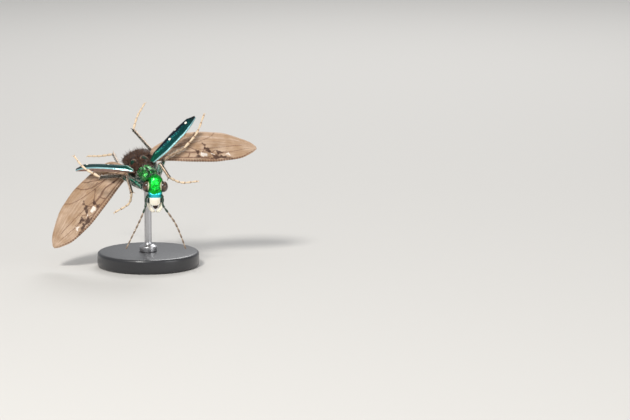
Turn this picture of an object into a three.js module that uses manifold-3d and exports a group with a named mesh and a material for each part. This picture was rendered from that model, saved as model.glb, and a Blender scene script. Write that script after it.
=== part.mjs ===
// A six-spotted tiger beetle in flight, life size, carried on a small round display stand.
// Millimetres, +Z up. The origin is the centre of the stand's underside, and the beetle flies towards -Y.
import * as THREE from "three";
import { mergeVertices } from "three/addons/utils/BufferGeometryUtils.js";
import Module from "manifold-3d";

const wasm = await Module();
wasm.setup();

// Driving dimensions of the beetle
const GAP = 0.3; // kept between neighbouring pieces
const FLIGHT_HEIGHT = 13.2; // from the floor to the middle of the thorax
const HEADING = new THREE.Vector3(0.2, -0.968, -0.154); // the thorax's own forward direction
const LEFT_WARD = new THREE.Vector3(0.919, 0.13, 0.373); // its left: the animal banks to its right
const ELYTRON_LENGTH = 9.1;
const HINDWING_LENGTH = 14.8;
const HEAD_TURN = { yaw: -36, pitch: 48, roll: -28 };
const PRONOTUM_TURN = { yaw: 11, pitch: 20, roll: -8 };

// Driving dimensions of the stand
const BASE_RADIUS = 7;
const BASE_HEIGHT = 2;
const ROD_RADIUS = 0.5;
const COLLAR_RADIUS = 1.2;
const COLLAR_HEIGHT = 0.7;

const X = new THREE.Vector3(1, 0, 0);
const Y = new THREE.Vector3(0, 1, 0);
const Z = new THREE.Vector3(0, 0, 1);
const degrees = THREE.MathUtils.degToRad;
const vector = (x, y, z) => new THREE.Vector3(x, y, z);

// Solids from points and faces

// A closed solid from points and triangles. A solid whose faces point inwards is turned round.
function solidFrom(points, faces) {
  let volume = 0;
  for (const [a, b, c] of faces) {
    volume += points[a].dot(vector(0, 0, 0).crossVectors(points[b], points[c]));
  }
  const outward = volume > 0 ? faces : faces.map(([a, b, c]) => [a, c, b]);
  return new wasm.Manifold(
    new wasm.Mesh({
      numProp: 3,
      vertProperties: new Float32Array(points.flatMap((p) => [p.x, p.y, p.z])),
      triVerts: new Uint32Array(outward.flat()),
    }),
  );
}

// A closed solid from one of three.js's own closed geometries.
function solidOf(geometry) {
  const bare = geometry.clone();
  bare.deleteAttribute("normal");
  bare.deleteAttribute("uv");
  const merged = mergeVertices(bare, 1e-4);
  return new wasm.Manifold(
    new wasm.Mesh({
      numProp: 3,
      vertProperties: merged.attributes.position.array,
      triVerts: new Uint32Array(merged.index.array),
    }),
  );
}

// The solid as a geometry, with its own largest body only.
function geometryOf(solid) {
  const bodies = solid.decompose();
  bodies.sort((a, b) => b.volume() - a.volume());
  const mesh = bodies[0].getMesh();
  const geometry = new THREE.BufferGeometry();
  geometry.setAttribute("position", new THREE.BufferAttribute(mesh.vertProperties, 3));
  geometry.setIndex(new THREE.BufferAttribute(mesh.triVerts, 1));
  geometry.computeVertexNormals();
  return geometry;
}

function joined(solids) {
  return solids.reduce((whole, piece) => whole.add(piece));
}

// A skin through rings that have the same number of points, closed by a fan at each end.
function loft(rings) {
  const sides = rings[0].length;
  const middle = (ring) =>
    ring.reduce((sum, p) => sum.add(p), vector(0, 0, 0)).divideScalar(sides);
  const points = [...rings.flat(), middle(rings[0]), middle(rings.at(-1))];
  const first = points.length - 2;
  const last = points.length - 1;
  const lastRing = (rings.length - 1) * sides;
  const faces = [];
  for (let j = 0; j < sides; j += 1) {
    const k = (j + 1) % sides;
    for (let i = 0; i < rings.length - 1; i += 1) {
      const a = i * sides;
      const b = a + sides;
      faces.push([a + j, a + k, b + k], [a + j, b + k, b + j]);
    }
    faces.push([first, k, j], [last, lastRing + j, lastRing + k]);
  }
  return solidFrom(points, faces);
}

// One ring of a body: wide to both sides, with its own height above and below the middle.
function oval(centre, side, up, halfWidth, above, below, sides) {
  return Array.from({ length: sides }, (_, i) => {
    const angle = (2 * Math.PI * i) / sides;
    const rise = Math.sin(angle);
    return centre
      .clone()
      .addScaledVector(side, halfWidth * Math.cos(angle))
      .addScaledVector(up, rise * (rise > 0 ? above : below));
  });
}

// A plate with a top and an underside, both split into triangles the same way.
function plate(rows, columns, top, underside) {
  const points = [];
  for (const face of [top, underside]) {
    for (let i = 0; i <= rows; i += 1) {
      for (let j = 0; j <= columns; j += 1) points.push(face(i / rows, j));
    }
  }
  const wide = columns + 1;
  const under = (rows + 1) * wide;
  const faces = [];
  for (let i = 0; i < rows; i += 1) {
    for (let j = 0; j < columns; j += 1) {
      const a = i * wide + j;
      const b = a + wide;
      faces.push([a, a + 1, b + 1], [a, b + 1, b]);
      faces.push([under + a, under + b + 1, under + a + 1], [under + a, under + b, under + b + 1]);
    }
    const a = i * wide;
    const b = a + wide;
    faces.push([a, b, under + b], [a, under + b, under + a]);
    faces.push([a + columns, under + b + columns, b + columns]);
    faces.push([a + columns, under + a + columns, under + b + columns]);
  }
  for (let j = 0; j < columns; j += 1) {
    const end = rows * wide + j;
    faces.push([j, under + j + 1, j + 1], [j, under + j, under + j + 1]);
    faces.push([end, end + 1, under + end + 1], [end, under + end + 1, under + end]);
  }
  return solidFrom(points, faces);
}

// The value of a smooth curve through evenly read rows: [place, value, ...], place rising or falling.
function along(rows, place) {
  const rising = rows.at(-1)[0] > rows[0][0];
  let i = rows.findIndex((row) => (rising ? row[0] >= place : row[0] <= place));
  i = Math.min(Math.max(i, 1), rows.length - 1);
  const [from, to] = [rows[i - 1], rows[i]];
  const t = THREE.MathUtils.clamp((place - from[0]) / (to[0] - from[0]), 0, 1);
  const soft = (t + t * t * (3 - 2 * t)) / 2;
  return from.slice(1).map((value, n) => value + (to[n + 1] - value) * soft);
}

// A body lofted along X from rows of [x, half width, top, bottom], optionally grown on every side.
function trunk(rows, rings, sides, grow = 0) {
  const [start, end] = [rows[0][0], rows.at(-1)[0]];
  const direction = Math.sign(end - start);
  return loft(
    Array.from({ length: rings }, (_, i) => {
      const share = i / (rings - 1);
      const [halfWidth, top, bottom] = along(rows, start + (end - start) * share);
      const middle = (top + bottom) / 2;
      const halfHeight = (top - bottom) / 2 + grow;
      const outer = i === 0 ? -grow : i === rings - 1 ? grow : 0;
      const centre = vector(start + (end - start) * share + outer * direction, 0, middle);
      return oval(centre, Y, Z, halfWidth + grow, halfHeight, halfHeight, sides);
    }),
  );
}

// A limb: a tapering tube through points, with the radius read from rows of [share of length, radius].
function limb(points, radii, steps, sides, grow = 0) {
  const curve = new THREE.CatmullRomCurve3(points, false, "centripetal");
  return loft(
    Array.from({ length: steps + 1 }, (_, i) => {
      const share = i / steps;
      const ahead = curve.getTangentAt(share);
      const level = Math.abs(ahead.z) > 0.9 ? X : Z;
      const side = vector(0, 0, 0).crossVectors(ahead, level).normalize();
      const up = vector(0, 0, 0).crossVectors(side, ahead);
      const [radius] = along(radii, share);
      const centre = curve.getPointAt(share);
      if (i === 0) centre.addScaledVector(ahead, -grow);
      if (i === steps) centre.addScaledVector(ahead, grow);
      return oval(centre, side, up, radius + grow, radius + grow, radius + grow, sides);
    }),
  );
}

// A short tapering spine from a root, a direction and a length.
function spine(root, direction, length, radius) {
  const tip = root.clone().addScaledVector(direction, length);
  return limb([root, tip], [[0, radius], [1, 0.05]], 1, 5);
}

// The direction that leans forward by sweep and up by rise from straight out to a side, in degrees.
function outward(sideSign, sweep, rise) {
  const level = Math.cos(degrees(rise));
  return vector(
    level * Math.sin(degrees(sweep)),
    sideSign * level * Math.cos(degrees(sweep)),
    Math.sin(degrees(rise)),
  );
}

function turned({ yaw, pitch, roll }) {
  return new THREE.Euler(degrees(roll), degrees(pitch), degrees(yaw), "ZYX");
}

function frameAt(origin, turn) {
  return new THREE.Matrix4()
    .makeRotationFromEuler(turned(turn))
    .setPosition(origin.x, origin.y, origin.z);
}

const moved = (solid, matrix) => solid.transform(matrix.elements);

// Thorax: the wing-bearing middle of the body, with the middle and hind coxae below
const THORAX_ROWS = [
  [1.75, 1.2, 1.05, -0.9],
  [1.1, 1.7, 1.35, -1.45],
  [0, 2.0, 1.55, -1.7],
  [-1.2, 2.2, 1.95, -1.7],
  [-2.1, 2.15, 1.95, -1.5],
  [-2.6, 2.0, 1.75, -1.35],
];
const COXA_LENGTH = 0.9;
const COXA_RADIUS = 0.5;
const COXAE = {
  front: { root: vector(3.0, 0.55, -0.55), tip: vector(3.25, 0.75, -1.35) },
  middle: { root: vector(0.55, 0.75, -1.2), tip: vector(0.4, 1.3, -1.75) },
  hind: { root: vector(-1.75, 0.75, -1.2), tip: vector(-1.95, 1.5, -1.8) },
};

function coxa(name, sideSign, grow = 0) {
  const [root, tip] = [COXAE[name].root, COXAE[name].tip].map((p) => vector(p.x, sideSign * p.y, p.z));
  const radii = [[0, COXA_RADIUS], [1, COXA_RADIUS * COXA_LENGTH]];
  return limb([root, tip], radii, 1, 10, grow);
}

function thoraxSolid(grow = 0) {
  const coxae = ["middle", "hind"].flatMap((name) => [1, -1].map((s) => coxa(name, s, grow)));
  return joined([trunk(THORAX_ROWS, 11, 22, grow), ...coxae]);
}

// Abdomen: a tapering body whose rings step where one tergite laps over the next
const ABDOMEN_ROWS = [
  [-2.9, 2.0, 1.7, -1.2],
  [-3.9, 2.1, 1.7, -1.2],
  [-5.0, 1.8, 1.4, -1.1],
  [-5.9, 1.25, 0.95, -0.85],
  [-6.4, 0.5, 0.6, -0.4],
];
const ABDOMEN_WIDEST = 0.68; // how far up its section it is widest: flat above, keeled below
const ABDOMEN_SWING = -0.4; // how far its tip swings to the right
const TERGITES = 6;
const TERGITE_STEP = 0.07;

function abdomenSolid(grow = 0) {
  const [start, end] = [ABDOMEN_ROWS[0][0], ABDOMEN_ROWS.at(-1)[0]];
  const rings = [];
  for (let n = 0; n < TERGITES; n += 1) {
    for (const share of [0.02, 0.55, 0.98]) {
      const x = start + ((end - start) * (n + share)) / TERGITES;
      const [halfWidth, top, bottom] = along(ABDOMEN_ROWS, x);
      const step = grow - (share < 0.5 ? TERGITE_STEP : 0);
      const above = (top - bottom) * (1 - ABDOMEN_WIDEST);
      const aside = ABDOMEN_SWING * ((x - start) / (end - start)) ** 2;
      const middle = vector(x, aside, top - above);
      rings.push(oval(middle, Y, Z, halfWidth + step, above + step, top - above - bottom + step, 18));
    }
  }
  return loft(rings);
}

// Pronotum: a barrel with a groove behind its front edge and one before its hind edge
const PRONOTUM_LENGTH = 2.45;
const PRONOTUM_ROOT = vector(1.95, 0.1, 0.6);
const PRONOTUM_ROWS = [
  [0, 1.15, 0.95, -1.0],
  [0.12, 1.28, 1.08, -1.05],
  [0.3, 1.22, 0.98, -1.05],
  [0.55, 1.42, 1.15, -1.1],
  [1.25, 1.48, 1.2, -1.1],
  [1.85, 1.34, 1.12, -1.05],
  [2.1, 1.2, 0.98, -1.0],
  [2.3, 1.24, 1.04, -1.0],
  [PRONOTUM_LENGTH, 1.1, 0.92, -0.9],
];
const pronotumFrame = frameAt(PRONOTUM_ROOT, PRONOTUM_TURN);

function pronotumSolid(grow = 0) {
  const barrel = moved(trunk(PRONOTUM_ROWS, 13, 20, grow), pronotumFrame);
  return joined([barrel, coxa("front", 1, grow), coxa("front", -1, grow)]);
}

// Head: broad at the eyes, with the brow sloping to the clypeus; x runs from the neck to the mouth
const NECK = vector(PRONOTUM_LENGTH + 0.1, 0.5, 0.1).applyMatrix4(pronotumFrame);
const HEAD_ROWS = [
  [-0.35, 0.75, 0.75, -0.7],
  [0.2, 1.05, 1.0, -0.95],
  [0.9, 1.0, 1.05, -1.0],
  [1.6, 1.0, 0.98, -0.95],
  [2.3, 1.0, 0.75, -0.85],
  [2.8, 0.85, 0.5, -0.75],
];
const EYE = { x: 1.1, y: 1.08, z: 0.25, radii: [0.78, 0.72, 0.85] };
const headFrame = frameAt(NECK, HEAD_TURN);

function headSolid(grow = 0) {
  return moved(trunk(HEAD_ROWS, 10, 18, grow), headFrame);
}

function eyeSolid(sideSign) {
  const ball = solidOf(new THREE.SphereGeometry(1, 16, 10)).scale(EYE.radii);
  return moved(ball.translate([EYE.x, sideSign * EYE.y, EYE.z]), headFrame).subtract(headSolid(GAP));
}

// Mouth: a broad labrum over two curved, toothed mandibles, and a palp at each side below
const LABRUM = { x: 3.05, halfWidth: 0.72, length: 0.85, thickness: 0.5, top: 0.42 };
const MANDIBLE = { x: 2.75, y: 0.68, reach: 1.68, radius: 0.36 };
const TOOTH_PLACES = [0.45, 0.66];
const PALP = { x: 2.2, y: 0.5, z: -0.95, reach: 1.1, radius: 0.25 };
const ANTENNA = { x: 2.45, y: 0.95, z: 0.3 };

// The labrum's front edge is a shallow bow with three blunt teeth.
function labrumSolid(grow = 0) {
  const outline = new THREE.Shape();
  const front = LABRUM.length;
  outline.moveTo(-grow, -LABRUM.halfWidth - grow);
  outline.lineTo(front * 0.55, -LABRUM.halfWidth - grow);
  outline.quadraticCurveTo(front * 0.95, -LABRUM.halfWidth * 0.8, front + grow, 0);
  outline.quadraticCurveTo(front * 0.95, LABRUM.halfWidth * 0.8, front * 0.55, LABRUM.halfWidth + grow);
  outline.lineTo(-grow, LABRUM.halfWidth + grow);
  const slab = new THREE.ExtrudeGeometry(outline, {
    depth: LABRUM.thickness + 2 * grow,
    bevelEnabled: false,
    curveSegments: 6,
  });
  slab.translate(0, 0, -LABRUM.thickness - grow);
  slab.rotateY(degrees(18));
  slab.translate(LABRUM.x, 0, LABRUM.top);
  return moved(solidOf(slab), headFrame);
}

function mandibleSolid(sideSign) {
  const { x, y, reach, radius } = MANDIBLE;
  const lower = -0.5;
  const points = [
    vector(x - 0.3, sideSign * y, lower),
    vector(x + reach * 0.45, sideSign * (y + 0.12), lower - 0.05),
    vector(x + reach * 0.85, sideSign * (y - 0.14), lower - 0.1),
    vector(x + reach, sideSign * 0.18, lower - 0.12),
  ];
  const blade = limb(points, [[0, radius], [0.5, radius * 0.9], [1, 0.1]], 7, 9);
  const curve = new THREE.CatmullRomCurve3(points, false, "centripetal");
  const teeth = TOOTH_PLACES.map((share) =>
    spine(curve.getPointAt(share), vector(0.5, -sideSign, 0).normalize(), 0.42, 0.16),
  );
  return moved(joined([blade, ...teeth]), headFrame);
}

function palpSolid(sideSign) {
  const { x, y, z, reach, radius } = PALP;
  const points = [
    vector(x - 0.2, sideSign * y, z + 0.3),
    vector(x + reach * 0.35, sideSign * (y + 0.25), z - 0.4),
    vector(x + reach, sideSign * (y + 0.35), z - 0.65),
  ];
  return moved(limb(points, [[0, radius], [0.9, radius], [1, 0.16]], 6, 8), headFrame);
}

// Antennae: eleven joints, each swelling a little towards its end
const ANTENNA_JOINTS = 11;
// The way out from the root, in the head's own frame: ahead, to the side and up
const ANTENNA_WAYS = {
  left: [[0.55, 0.2, 0.5], [1.4, 0.2, 0.65], [2.5, 0.92, 0.55], [4.0, 1.93, 0.4], [5.75, 2.7, 0.3], [7.5, 3.35, 0.15]],
  right: [[0.55, 0.2, 0.5], [1.4, 0.2, 0.65], [2.75, 0.65, 0.55], [4.4, 1.4, 0.4], [5.95, 2.15, 0.3], [7.4, 2.85, 0.15]],
};

function antennaSolid(side, sideSign) {
  const root = vector(ANTENNA.x, sideSign * ANTENNA.y, ANTENNA.z);
  const points = ANTENNA_WAYS[side].map(([x, y, z]) => vector(x, sideSign * y, z).add(root));
  const radii = [[0, 0.27]];
  for (let n = 1; n <= ANTENNA_JOINTS; n += 1) {
    const taper = 0.27 - (0.13 * n) / ANTENNA_JOINTS;
    radii.push([(n - 0.15) / ANTENNA_JOINTS, taper], [n / ANTENNA_JOINTS, taper - 0.03]);
  }
  return moved(limb([root, ...points], radii, 2 * ANTENNA_JOINTS, 7), headFrame);
}

// Elytra: hard, cambered wing cases, held out and back from the shoulders
const ELYTRON_THICKNESS = 0.5;
const ELYTRON_CAMBER = 0.75;
const ELYTRON_DROOP = 0.5;
const ELYTRON_EDGES = [
  // share of length, outer margin, sutural margin
  [0, 0.3, -0.45],
  [0.08, 0.55, -0.65],
  [0.3, 0.95, -0.85],
  [0.6, 1.0, -0.95],
  [0.82, 0.65, -0.7],
  [0.94, 0.25, -0.4],
  [1, 0.0, -0.2],
];
const ELYTRA = {
  left: { root: vector(1.05, 2.0, 1.35), sweep: -25, rise: 16.5, pitch: 14 },
  right: { root: vector(1.72, -1.6, 1.34), sweep: -38.5, rise: 12, pitch: -41 },
};

// The axes of a wing: out along its length, forward across it, and up out of its upper face.
function wingAxes(sideSign, sweep, rise, pitch) {
  const out = outward(sideSign, sweep, rise);
  const flatUp = Z.clone().addScaledVector(out, -out.z).normalize();
  const flatAhead = vector(0, 0, 0).crossVectors(out, flatUp).multiplyScalar(sideSign);
  const ahead = flatAhead
    .clone()
    .multiplyScalar(Math.cos(degrees(pitch)))
    .addScaledVector(flatUp, -Math.sin(degrees(pitch)));
  const up = flatUp
    .clone()
    .multiplyScalar(Math.cos(degrees(pitch)))
    .addScaledVector(flatAhead, Math.sin(degrees(pitch)));
  return { out, ahead, up };
}

function elytronSolid(side, sideSign) {
  const { root, sweep, rise, pitch } = ELYTRA[side];
  const { out, ahead, up } = wingAxes(sideSign, sweep, rise, pitch);
  const columns = 6;
  const face = (lift) => (share, j) => {
    const [outer, suture] = along(ELYTRON_EDGES, share);
    const across = outer + ((suture - outer) * j) / columns;
    const bow = 1 - (2 * j / columns - 1) ** 2;
    const height = ELYTRON_CAMBER * bow * Math.min(1, 6 * share + 0.3, 5 * (1 - share) + 0.35);
    return root
      .clone()
      .addScaledVector(out, ELYTRON_LENGTH * share - 0.6)
      .addScaledVector(ahead, across)
      .addScaledVector(up, height - ELYTRON_DROOP * share ** 3 + lift);
  };
  return plate(14, columns, face(0), face(-ELYTRON_THICKNESS));
}

// Hindwings: thin membranes with their main veins raised, spread and pitched nose-down in the downstroke
const MEMBRANE_THICKNESS = 0.5;
const VEIN_HEIGHT = 0.2;
const VEIN_HALF_WIDTH = 0.22;
const HINDWING_EDGES = [
  // share of length, leading edge, trailing edge
  [0, 0.3, -1.3],
  [0.05, 0.4, -3.0],
  [0.14, 0.5, -3.8],
  [0.3, 0.85, -4.2],
  [0.46, 1.2, -4.3],
  [0.65, 1.5, -3.85],
  [0.84, 1.25, -2.6],
  [0.95, 0.6, -1.4],
  [1, 0.0, -0.35],
];
const VEIN_ROWS = [
  // each main vein's distance behind the leading edge, as a share of the width there, and its span
  { share: 0.06, ends: 0.97 },
  { share: 0.24, ends: 0.86 },
  { share: 0.48, ends: 0.9 },
  { share: 0.74, ends: 0.7 },
];
const HINDWINGS = {
  left: { root: vector(-0.8, 1.95, 0.6), sweep: -1, rise: -18, pitch: 32, rootPitch: 14 },
  right: { root: vector(-0.8, -1.95, 0.3), sweep: 9, rise: -21, pitch: 39, rootPitch: 40 },
};

// The columns of the wing's grid: a ridge line with a foot on each side for every vein.
function wingColumns() {
  const columns = [{ share: 0 }];
  for (const { share, ends } of VEIN_ROWS) {
    columns.push({ share, foot: -1 }, { share, ends }, { share, foot: 1 });
  }
  columns.push({ share: 0.87 }, { share: 1 });
  return columns;
}

function hindwingSolid(side, sideSign) {
  const { root, sweep, rise, pitch, rootPitch } = HINDWINGS[side];
  const columns = wingColumns();
  const face = (sign) => (share, j) => {
    const settle = THREE.MathUtils.smoothstep(share, 0, 0.4);
    const { out, ahead, up } = wingAxes(sideSign, sweep, rise, rootPitch + (pitch - rootPitch) * settle);
    const [lead, trail] = along(HINDWING_EDGES, share);
    const column = columns[j];
    const width = lead - trail;
    const foot = (column.foot || 0) * Math.min(VEIN_HALF_WIDTH, 0.05 * width);
    const across = lead - width * column.share - foot;
    const onVein = column.ends && share < column.ends ? VEIN_HEIGHT : 0;
    const sag = 0.35 * Math.sin(Math.PI * column.share) * Math.sin(Math.PI * share);
    return root
      .clone()
      .addScaledVector(out, HINDWING_LENGTH * share - 0.35)
      .addScaledVector(ahead, across)
      .addScaledVector(up, sag + sign * MEMBRANE_THICKNESS / 2 + (sign > 0 ? onVein : 0));
  };
  return plate(14, columns.length - 1, face(1), face(-1));
}

// Legs: directions are [sweep, rise] in degrees from straight out to the leg's own side
const LEG_LENGTHS = {
  front: { femur: 3.1, tibia: 2.65, tarsus: [2.0, 2.2] },
  middle: { femur: 3.15, tibia: 3.35, tarsus: [2.63, 2.7] },
  hind: { femur: 4.65, tibia: 5.4, tarsus: [2.4, 2.8] },
};
const LEG_POSES = {
  front_left: { femur: [-38, 43], tibia: [79, -42], tarsus: [[-19, -48], [18, -13]] },
  front_right: { femur: [-51, 38], tibia: [81, -38], tarsus: [[-43, -51], [3, -9]] },
  middle_left: { femur: [9, 50], tibia: [21, 13], tarsus: [[-9, 26], [-18, 42]] },
  middle_right: { femur: [12, 56], tibia: [24, 26], tarsus: [[-47, 36], [-74, 30]] },
  hind_left: { femur: [-79, 22], tibia: [-104, 26], tarsus: [[-55, 23], [-52, 13]] },
  hind_right: { femur: [-75, 17], tibia: [-89, 3], tarsus: [[-45, -3], [-53, -1]] },
};
const FEMUR_RADII = [[0, 0.26], [0.25, 0.4], [0.7, 0.32], [1, 0.28]];
const TIBIA_RADII = [[0, 0.27], [0.15, 0.25], [0.85, 0.26], [1, 0.3]];
const TARSUS_JOINTS = 5;
const SPUR_LENGTH = 0.7;
const CLAW_LENGTH = 0.5;

function legJoints(name) {
  const [pair, side] = name.split("_");
  const sideSign = side === "left" ? 1 : -1;
  const { femur, tibia, tarsus } = LEG_LENGTHS[pair];
  const pose = LEG_POSES[name];
  const tip = COXAE[pair].tip;
  const hip = vector(tip.x, sideSign * tip.y, tip.z);
  const step = (from, length, angles) =>
    from.clone().addScaledVector(outward(sideSign, ...angles), length);
  const knee = step(hip, femur, pose.femur);
  const ankle = step(knee, tibia, pose.tibia);
  const instep = step(ankle, tarsus[0], pose.tarsus[0]);
  const toe = step(instep, tarsus[1], pose.tarsus[1]);
  return { hip, knee, ankle, instep, toe };
}

function femurSolid({ hip, knee }, grow = 0) {
  return limb([hip, knee], FEMUR_RADII, 5, 8, grow);
}

function tibiaSolid({ knee, ankle, instep }, grow = 0) {
  const shin = limb([knee, ankle], TIBIA_RADII, 4, 8, grow);
  if (grow > 0) return shin;
  const ahead = ankle.clone().sub(knee).normalize();
  const toeWard = instep.clone().sub(ankle).normalize();
  const aside = vector(0, 0, 0).crossVectors(ahead, toeWard).normalize();
  const away = ahead.clone().sub(toeWard).normalize();
  const root = ankle.clone().addScaledVector(ahead, -0.25);
  const spurs = [1, -1].map((turn) =>
    spine(root, aside.clone().multiplyScalar(turn).addScaledVector(away, 0.6).addScaledVector(ahead, 0.5).normalize(), SPUR_LENGTH, 0.14),
  );
  return joined([shin, ...spurs]);
}

function tarsusSolid({ ankle, instep, toe }) {
  const radii = [];
  for (let n = 0; n < TARSUS_JOINTS; n += 1) {
    const girth = 0.27 - 0.02 * n;
    radii.push([(n + 0.1) / TARSUS_JOINTS, girth - 0.05], [(n + 0.85) / TARSUS_JOINTS, girth]);
  }
  const foot = limb([ankle, instep, toe], radii, 2 * TARSUS_JOINTS, 8);
  const ahead = toe.clone().sub(instep).normalize();
  const aside = vector(0, 0, 0).crossVectors(ahead, Z).normalize();
  const root = toe.clone().addScaledVector(ahead, -0.12);
  const claws = [1, -1].map((turn) =>
    spine(root, ahead.clone().addScaledVector(aside, 0.7 * turn).normalize(), CLAW_LENGTH, 0.13),
  );
  return joined([foot, ...claws]);
}

// Materials
const material = (color, roughness, metalness) =>
  new THREE.MeshStandardMaterial({ color, roughness, metalness });
const FINISH = {
  green: material(0x14a043, 0.3, 0.8),
  teal: material(0x0d6b66, 0.3, 0.8),
  brown: material(0x3a2418, 0.5, 0.3),
  ivory: material(0xf2e9d2, 0.45, 0),
  eye: material(0x2a1a14, 0.15, 0),
  feeler: material(0x8a7458, 0.5, 0.1),
  leg: material(0x56604e, 0.4, 0.4),
  foot: material(0xc9ab84, 0.5, 0.1),
  membrane: material(0xb99c80, 0.4, 0),
  base: material(0x1c1c1e, 0.45, 0.2),
  rod: material(0xb8b8ba, 0.3, 1),
};

const beetle = new THREE.Group();
const UP_WARD = vector(0, 0, 0).crossVectors(HEADING, LEFT_WARD).normalize();
const LEFT = vector(0, 0, 0).crossVectors(UP_WARD, HEADING).normalize();
const attitude = new THREE.Matrix4().makeBasis(HEADING.clone().normalize(), LEFT, UP_WARD);
const ROD_TOP_ON_BODY = vector(0.1, 0, -1.7); // under the thorax, between the middle coxae
const rodTop = ROD_TOP_ON_BODY.clone().applyMatrix4(attitude);
attitude.setPosition(-rodTop.x, -rodTop.y, FLIGHT_HEIGHT);
beetle.applyMatrix4(attitude);

// Each piece's geometry is moved to its own root, and its mesh is placed there.
function addPiece(group, name, solid, root, finish) {
  const geometry = geometryOf(solid);
  geometry.translate(-root.x, -root.y, -root.z);
  const mesh = new THREE.Mesh(geometry, finish);
  mesh.name = name;
  mesh.position.copy(root);
  group.add(mesh);
}

const inHead = (x, y, z) => vector(x, y, z).applyMatrix4(headFrame);
const thoraxGrown = thoraxSolid(GAP);
const pronotumGrown = pronotumSolid(GAP);
const headGrown = headSolid(GAP);
const trunkGrown = joined([thoraxGrown, pronotumGrown]);

addPiece(beetle, "thorax", thoraxSolid(), vector(0, 0, 0), FINISH.teal);
addPiece(beetle, "abdomen", abdomenSolid().subtract(thoraxGrown), vector(-2.9, 0, 0), FINISH.brown);
addPiece(beetle, "pronotum", pronotumSolid().subtract(thoraxGrown), PRONOTUM_ROOT, FINISH.green);
addPiece(beetle, "head", headSolid().subtract(pronotumGrown), NECK, FINISH.green);
addPiece(beetle, "labrum", labrumSolid().subtract(headGrown), inHead(LABRUM.x, 0, 0), FINISH.ivory);

const nearMouth = joined([headGrown, labrumSolid(GAP + 0.02)]);
for (const [side, sideSign] of [["left", 1], ["right", -1]]) {
  addPiece(beetle, `eye_${side}`, eyeSolid(sideSign).subtract(pronotumGrown), inHead(EYE.x, sideSign * EYE.y, EYE.z), FINISH.eye);
  const mandible = mandibleSolid(sideSign);
  const halfSpace = solidOf(new THREE.BoxGeometry(20, 20, 20)).translate([0, sideSign * (10 + GAP / 2), 0]);
  const ownHalf = mandible.intersect(moved(halfSpace, headFrame));
  addPiece(beetle, `mandible_${side}`, ownHalf.subtract(nearMouth), inHead(MANDIBLE.x, sideSign * MANDIBLE.y, 0), FINISH.ivory);
  addPiece(beetle, `palp_${side}`, palpSolid(sideSign).subtract(headGrown), inHead(PALP.x, sideSign * PALP.y, PALP.z), FINISH.ivory);
  addPiece(beetle, `antenna_${side}`, antennaSolid(side, sideSign).subtract(nearMouth), inHead(ANTENNA.x, sideSign * ANTENNA.y, ANTENNA.z), FINISH.feeler);
  addPiece(beetle, `elytron_${side}`, elytronSolid(side, sideSign).subtract(trunkGrown), ELYTRA[side].root, FINISH.teal);
  addPiece(beetle, `hindwing_${side}`, hindwingSolid(side, sideSign).subtract(trunkGrown), HINDWINGS[side].root, FINISH.membrane);
}

for (const name of Object.keys(LEG_POSES)) {
  const joints = legJoints(name);
  const body = name.startsWith("front") ? pronotumGrown : thoraxGrown;
  addPiece(beetle, `${name}_femur`, femurSolid(joints).subtract(body), joints.hip, FINISH.leg);
  addPiece(beetle, `${name}_tibia`, tibiaSolid(joints).subtract(femurSolid(joints, GAP)), joints.knee, FINISH.leg);
  addPiece(beetle, `${name}_tarsus`, tarsusSolid(joints).subtract(tibiaSolid(joints, GAP)), joints.ankle, FINISH.foot);
}

// Stand: a turned base with a slim rod up to the underside of the thorax
const EDGE = 0.3;
const baseProfile = [
  [0, 0],
  [BASE_RADIUS - EDGE, 0],
  [BASE_RADIUS, EDGE],
  [BASE_RADIUS, BASE_HEIGHT - 2 * EDGE],
  [BASE_RADIUS - EDGE, BASE_HEIGHT - EDGE / 2],
  [BASE_RADIUS - 2 * EDGE, BASE_HEIGHT],
  [0, BASE_HEIGHT],
].map(([r, z]) => new THREE.Vector2(r, z));
const rodFoot = BASE_HEIGHT + GAP;
const rodProfile = [
  [0, rodFoot],
  [COLLAR_RADIUS, rodFoot],
  [COLLAR_RADIUS, rodFoot + COLLAR_HEIGHT / 2],
  [COLLAR_RADIUS * 0.7, rodFoot + COLLAR_HEIGHT],
  [ROD_RADIUS, rodFoot + COLLAR_HEIGHT],
  [ROD_RADIUS, FLIGHT_HEIGHT],
  [0, FLIGHT_HEIGHT],
].map(([r, z]) => new THREE.Vector2(r, z));

function turnedSolid(profile, segments) {
  return solidOf(new THREE.LatheGeometry(profile, segments).rotateX(Math.PI / 2));
}

const model = new THREE.Group();
model.add(beetle);
addPiece(model, "stand_base", turnedSolid(baseProfile, 48), vector(0, 0, 0), FINISH.base);
const belowBody = turnedSolid(rodProfile, 20).subtract(moved(thoraxGrown, attitude));
addPiece(model, "stand_rod", belowBody, vector(0, 0, rodFoot), FINISH.rod);

export default model;
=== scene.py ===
# A six-spotted tiger beetle in flight, life size, on a round display stand.
# The sections follow the animal as it is put together, from the thorax outwards, and then the stand.
import math

import bpy
import numpy as np
from mathutils import Euler, Matrix, Vector
from mathutils.noise import fractal


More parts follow.
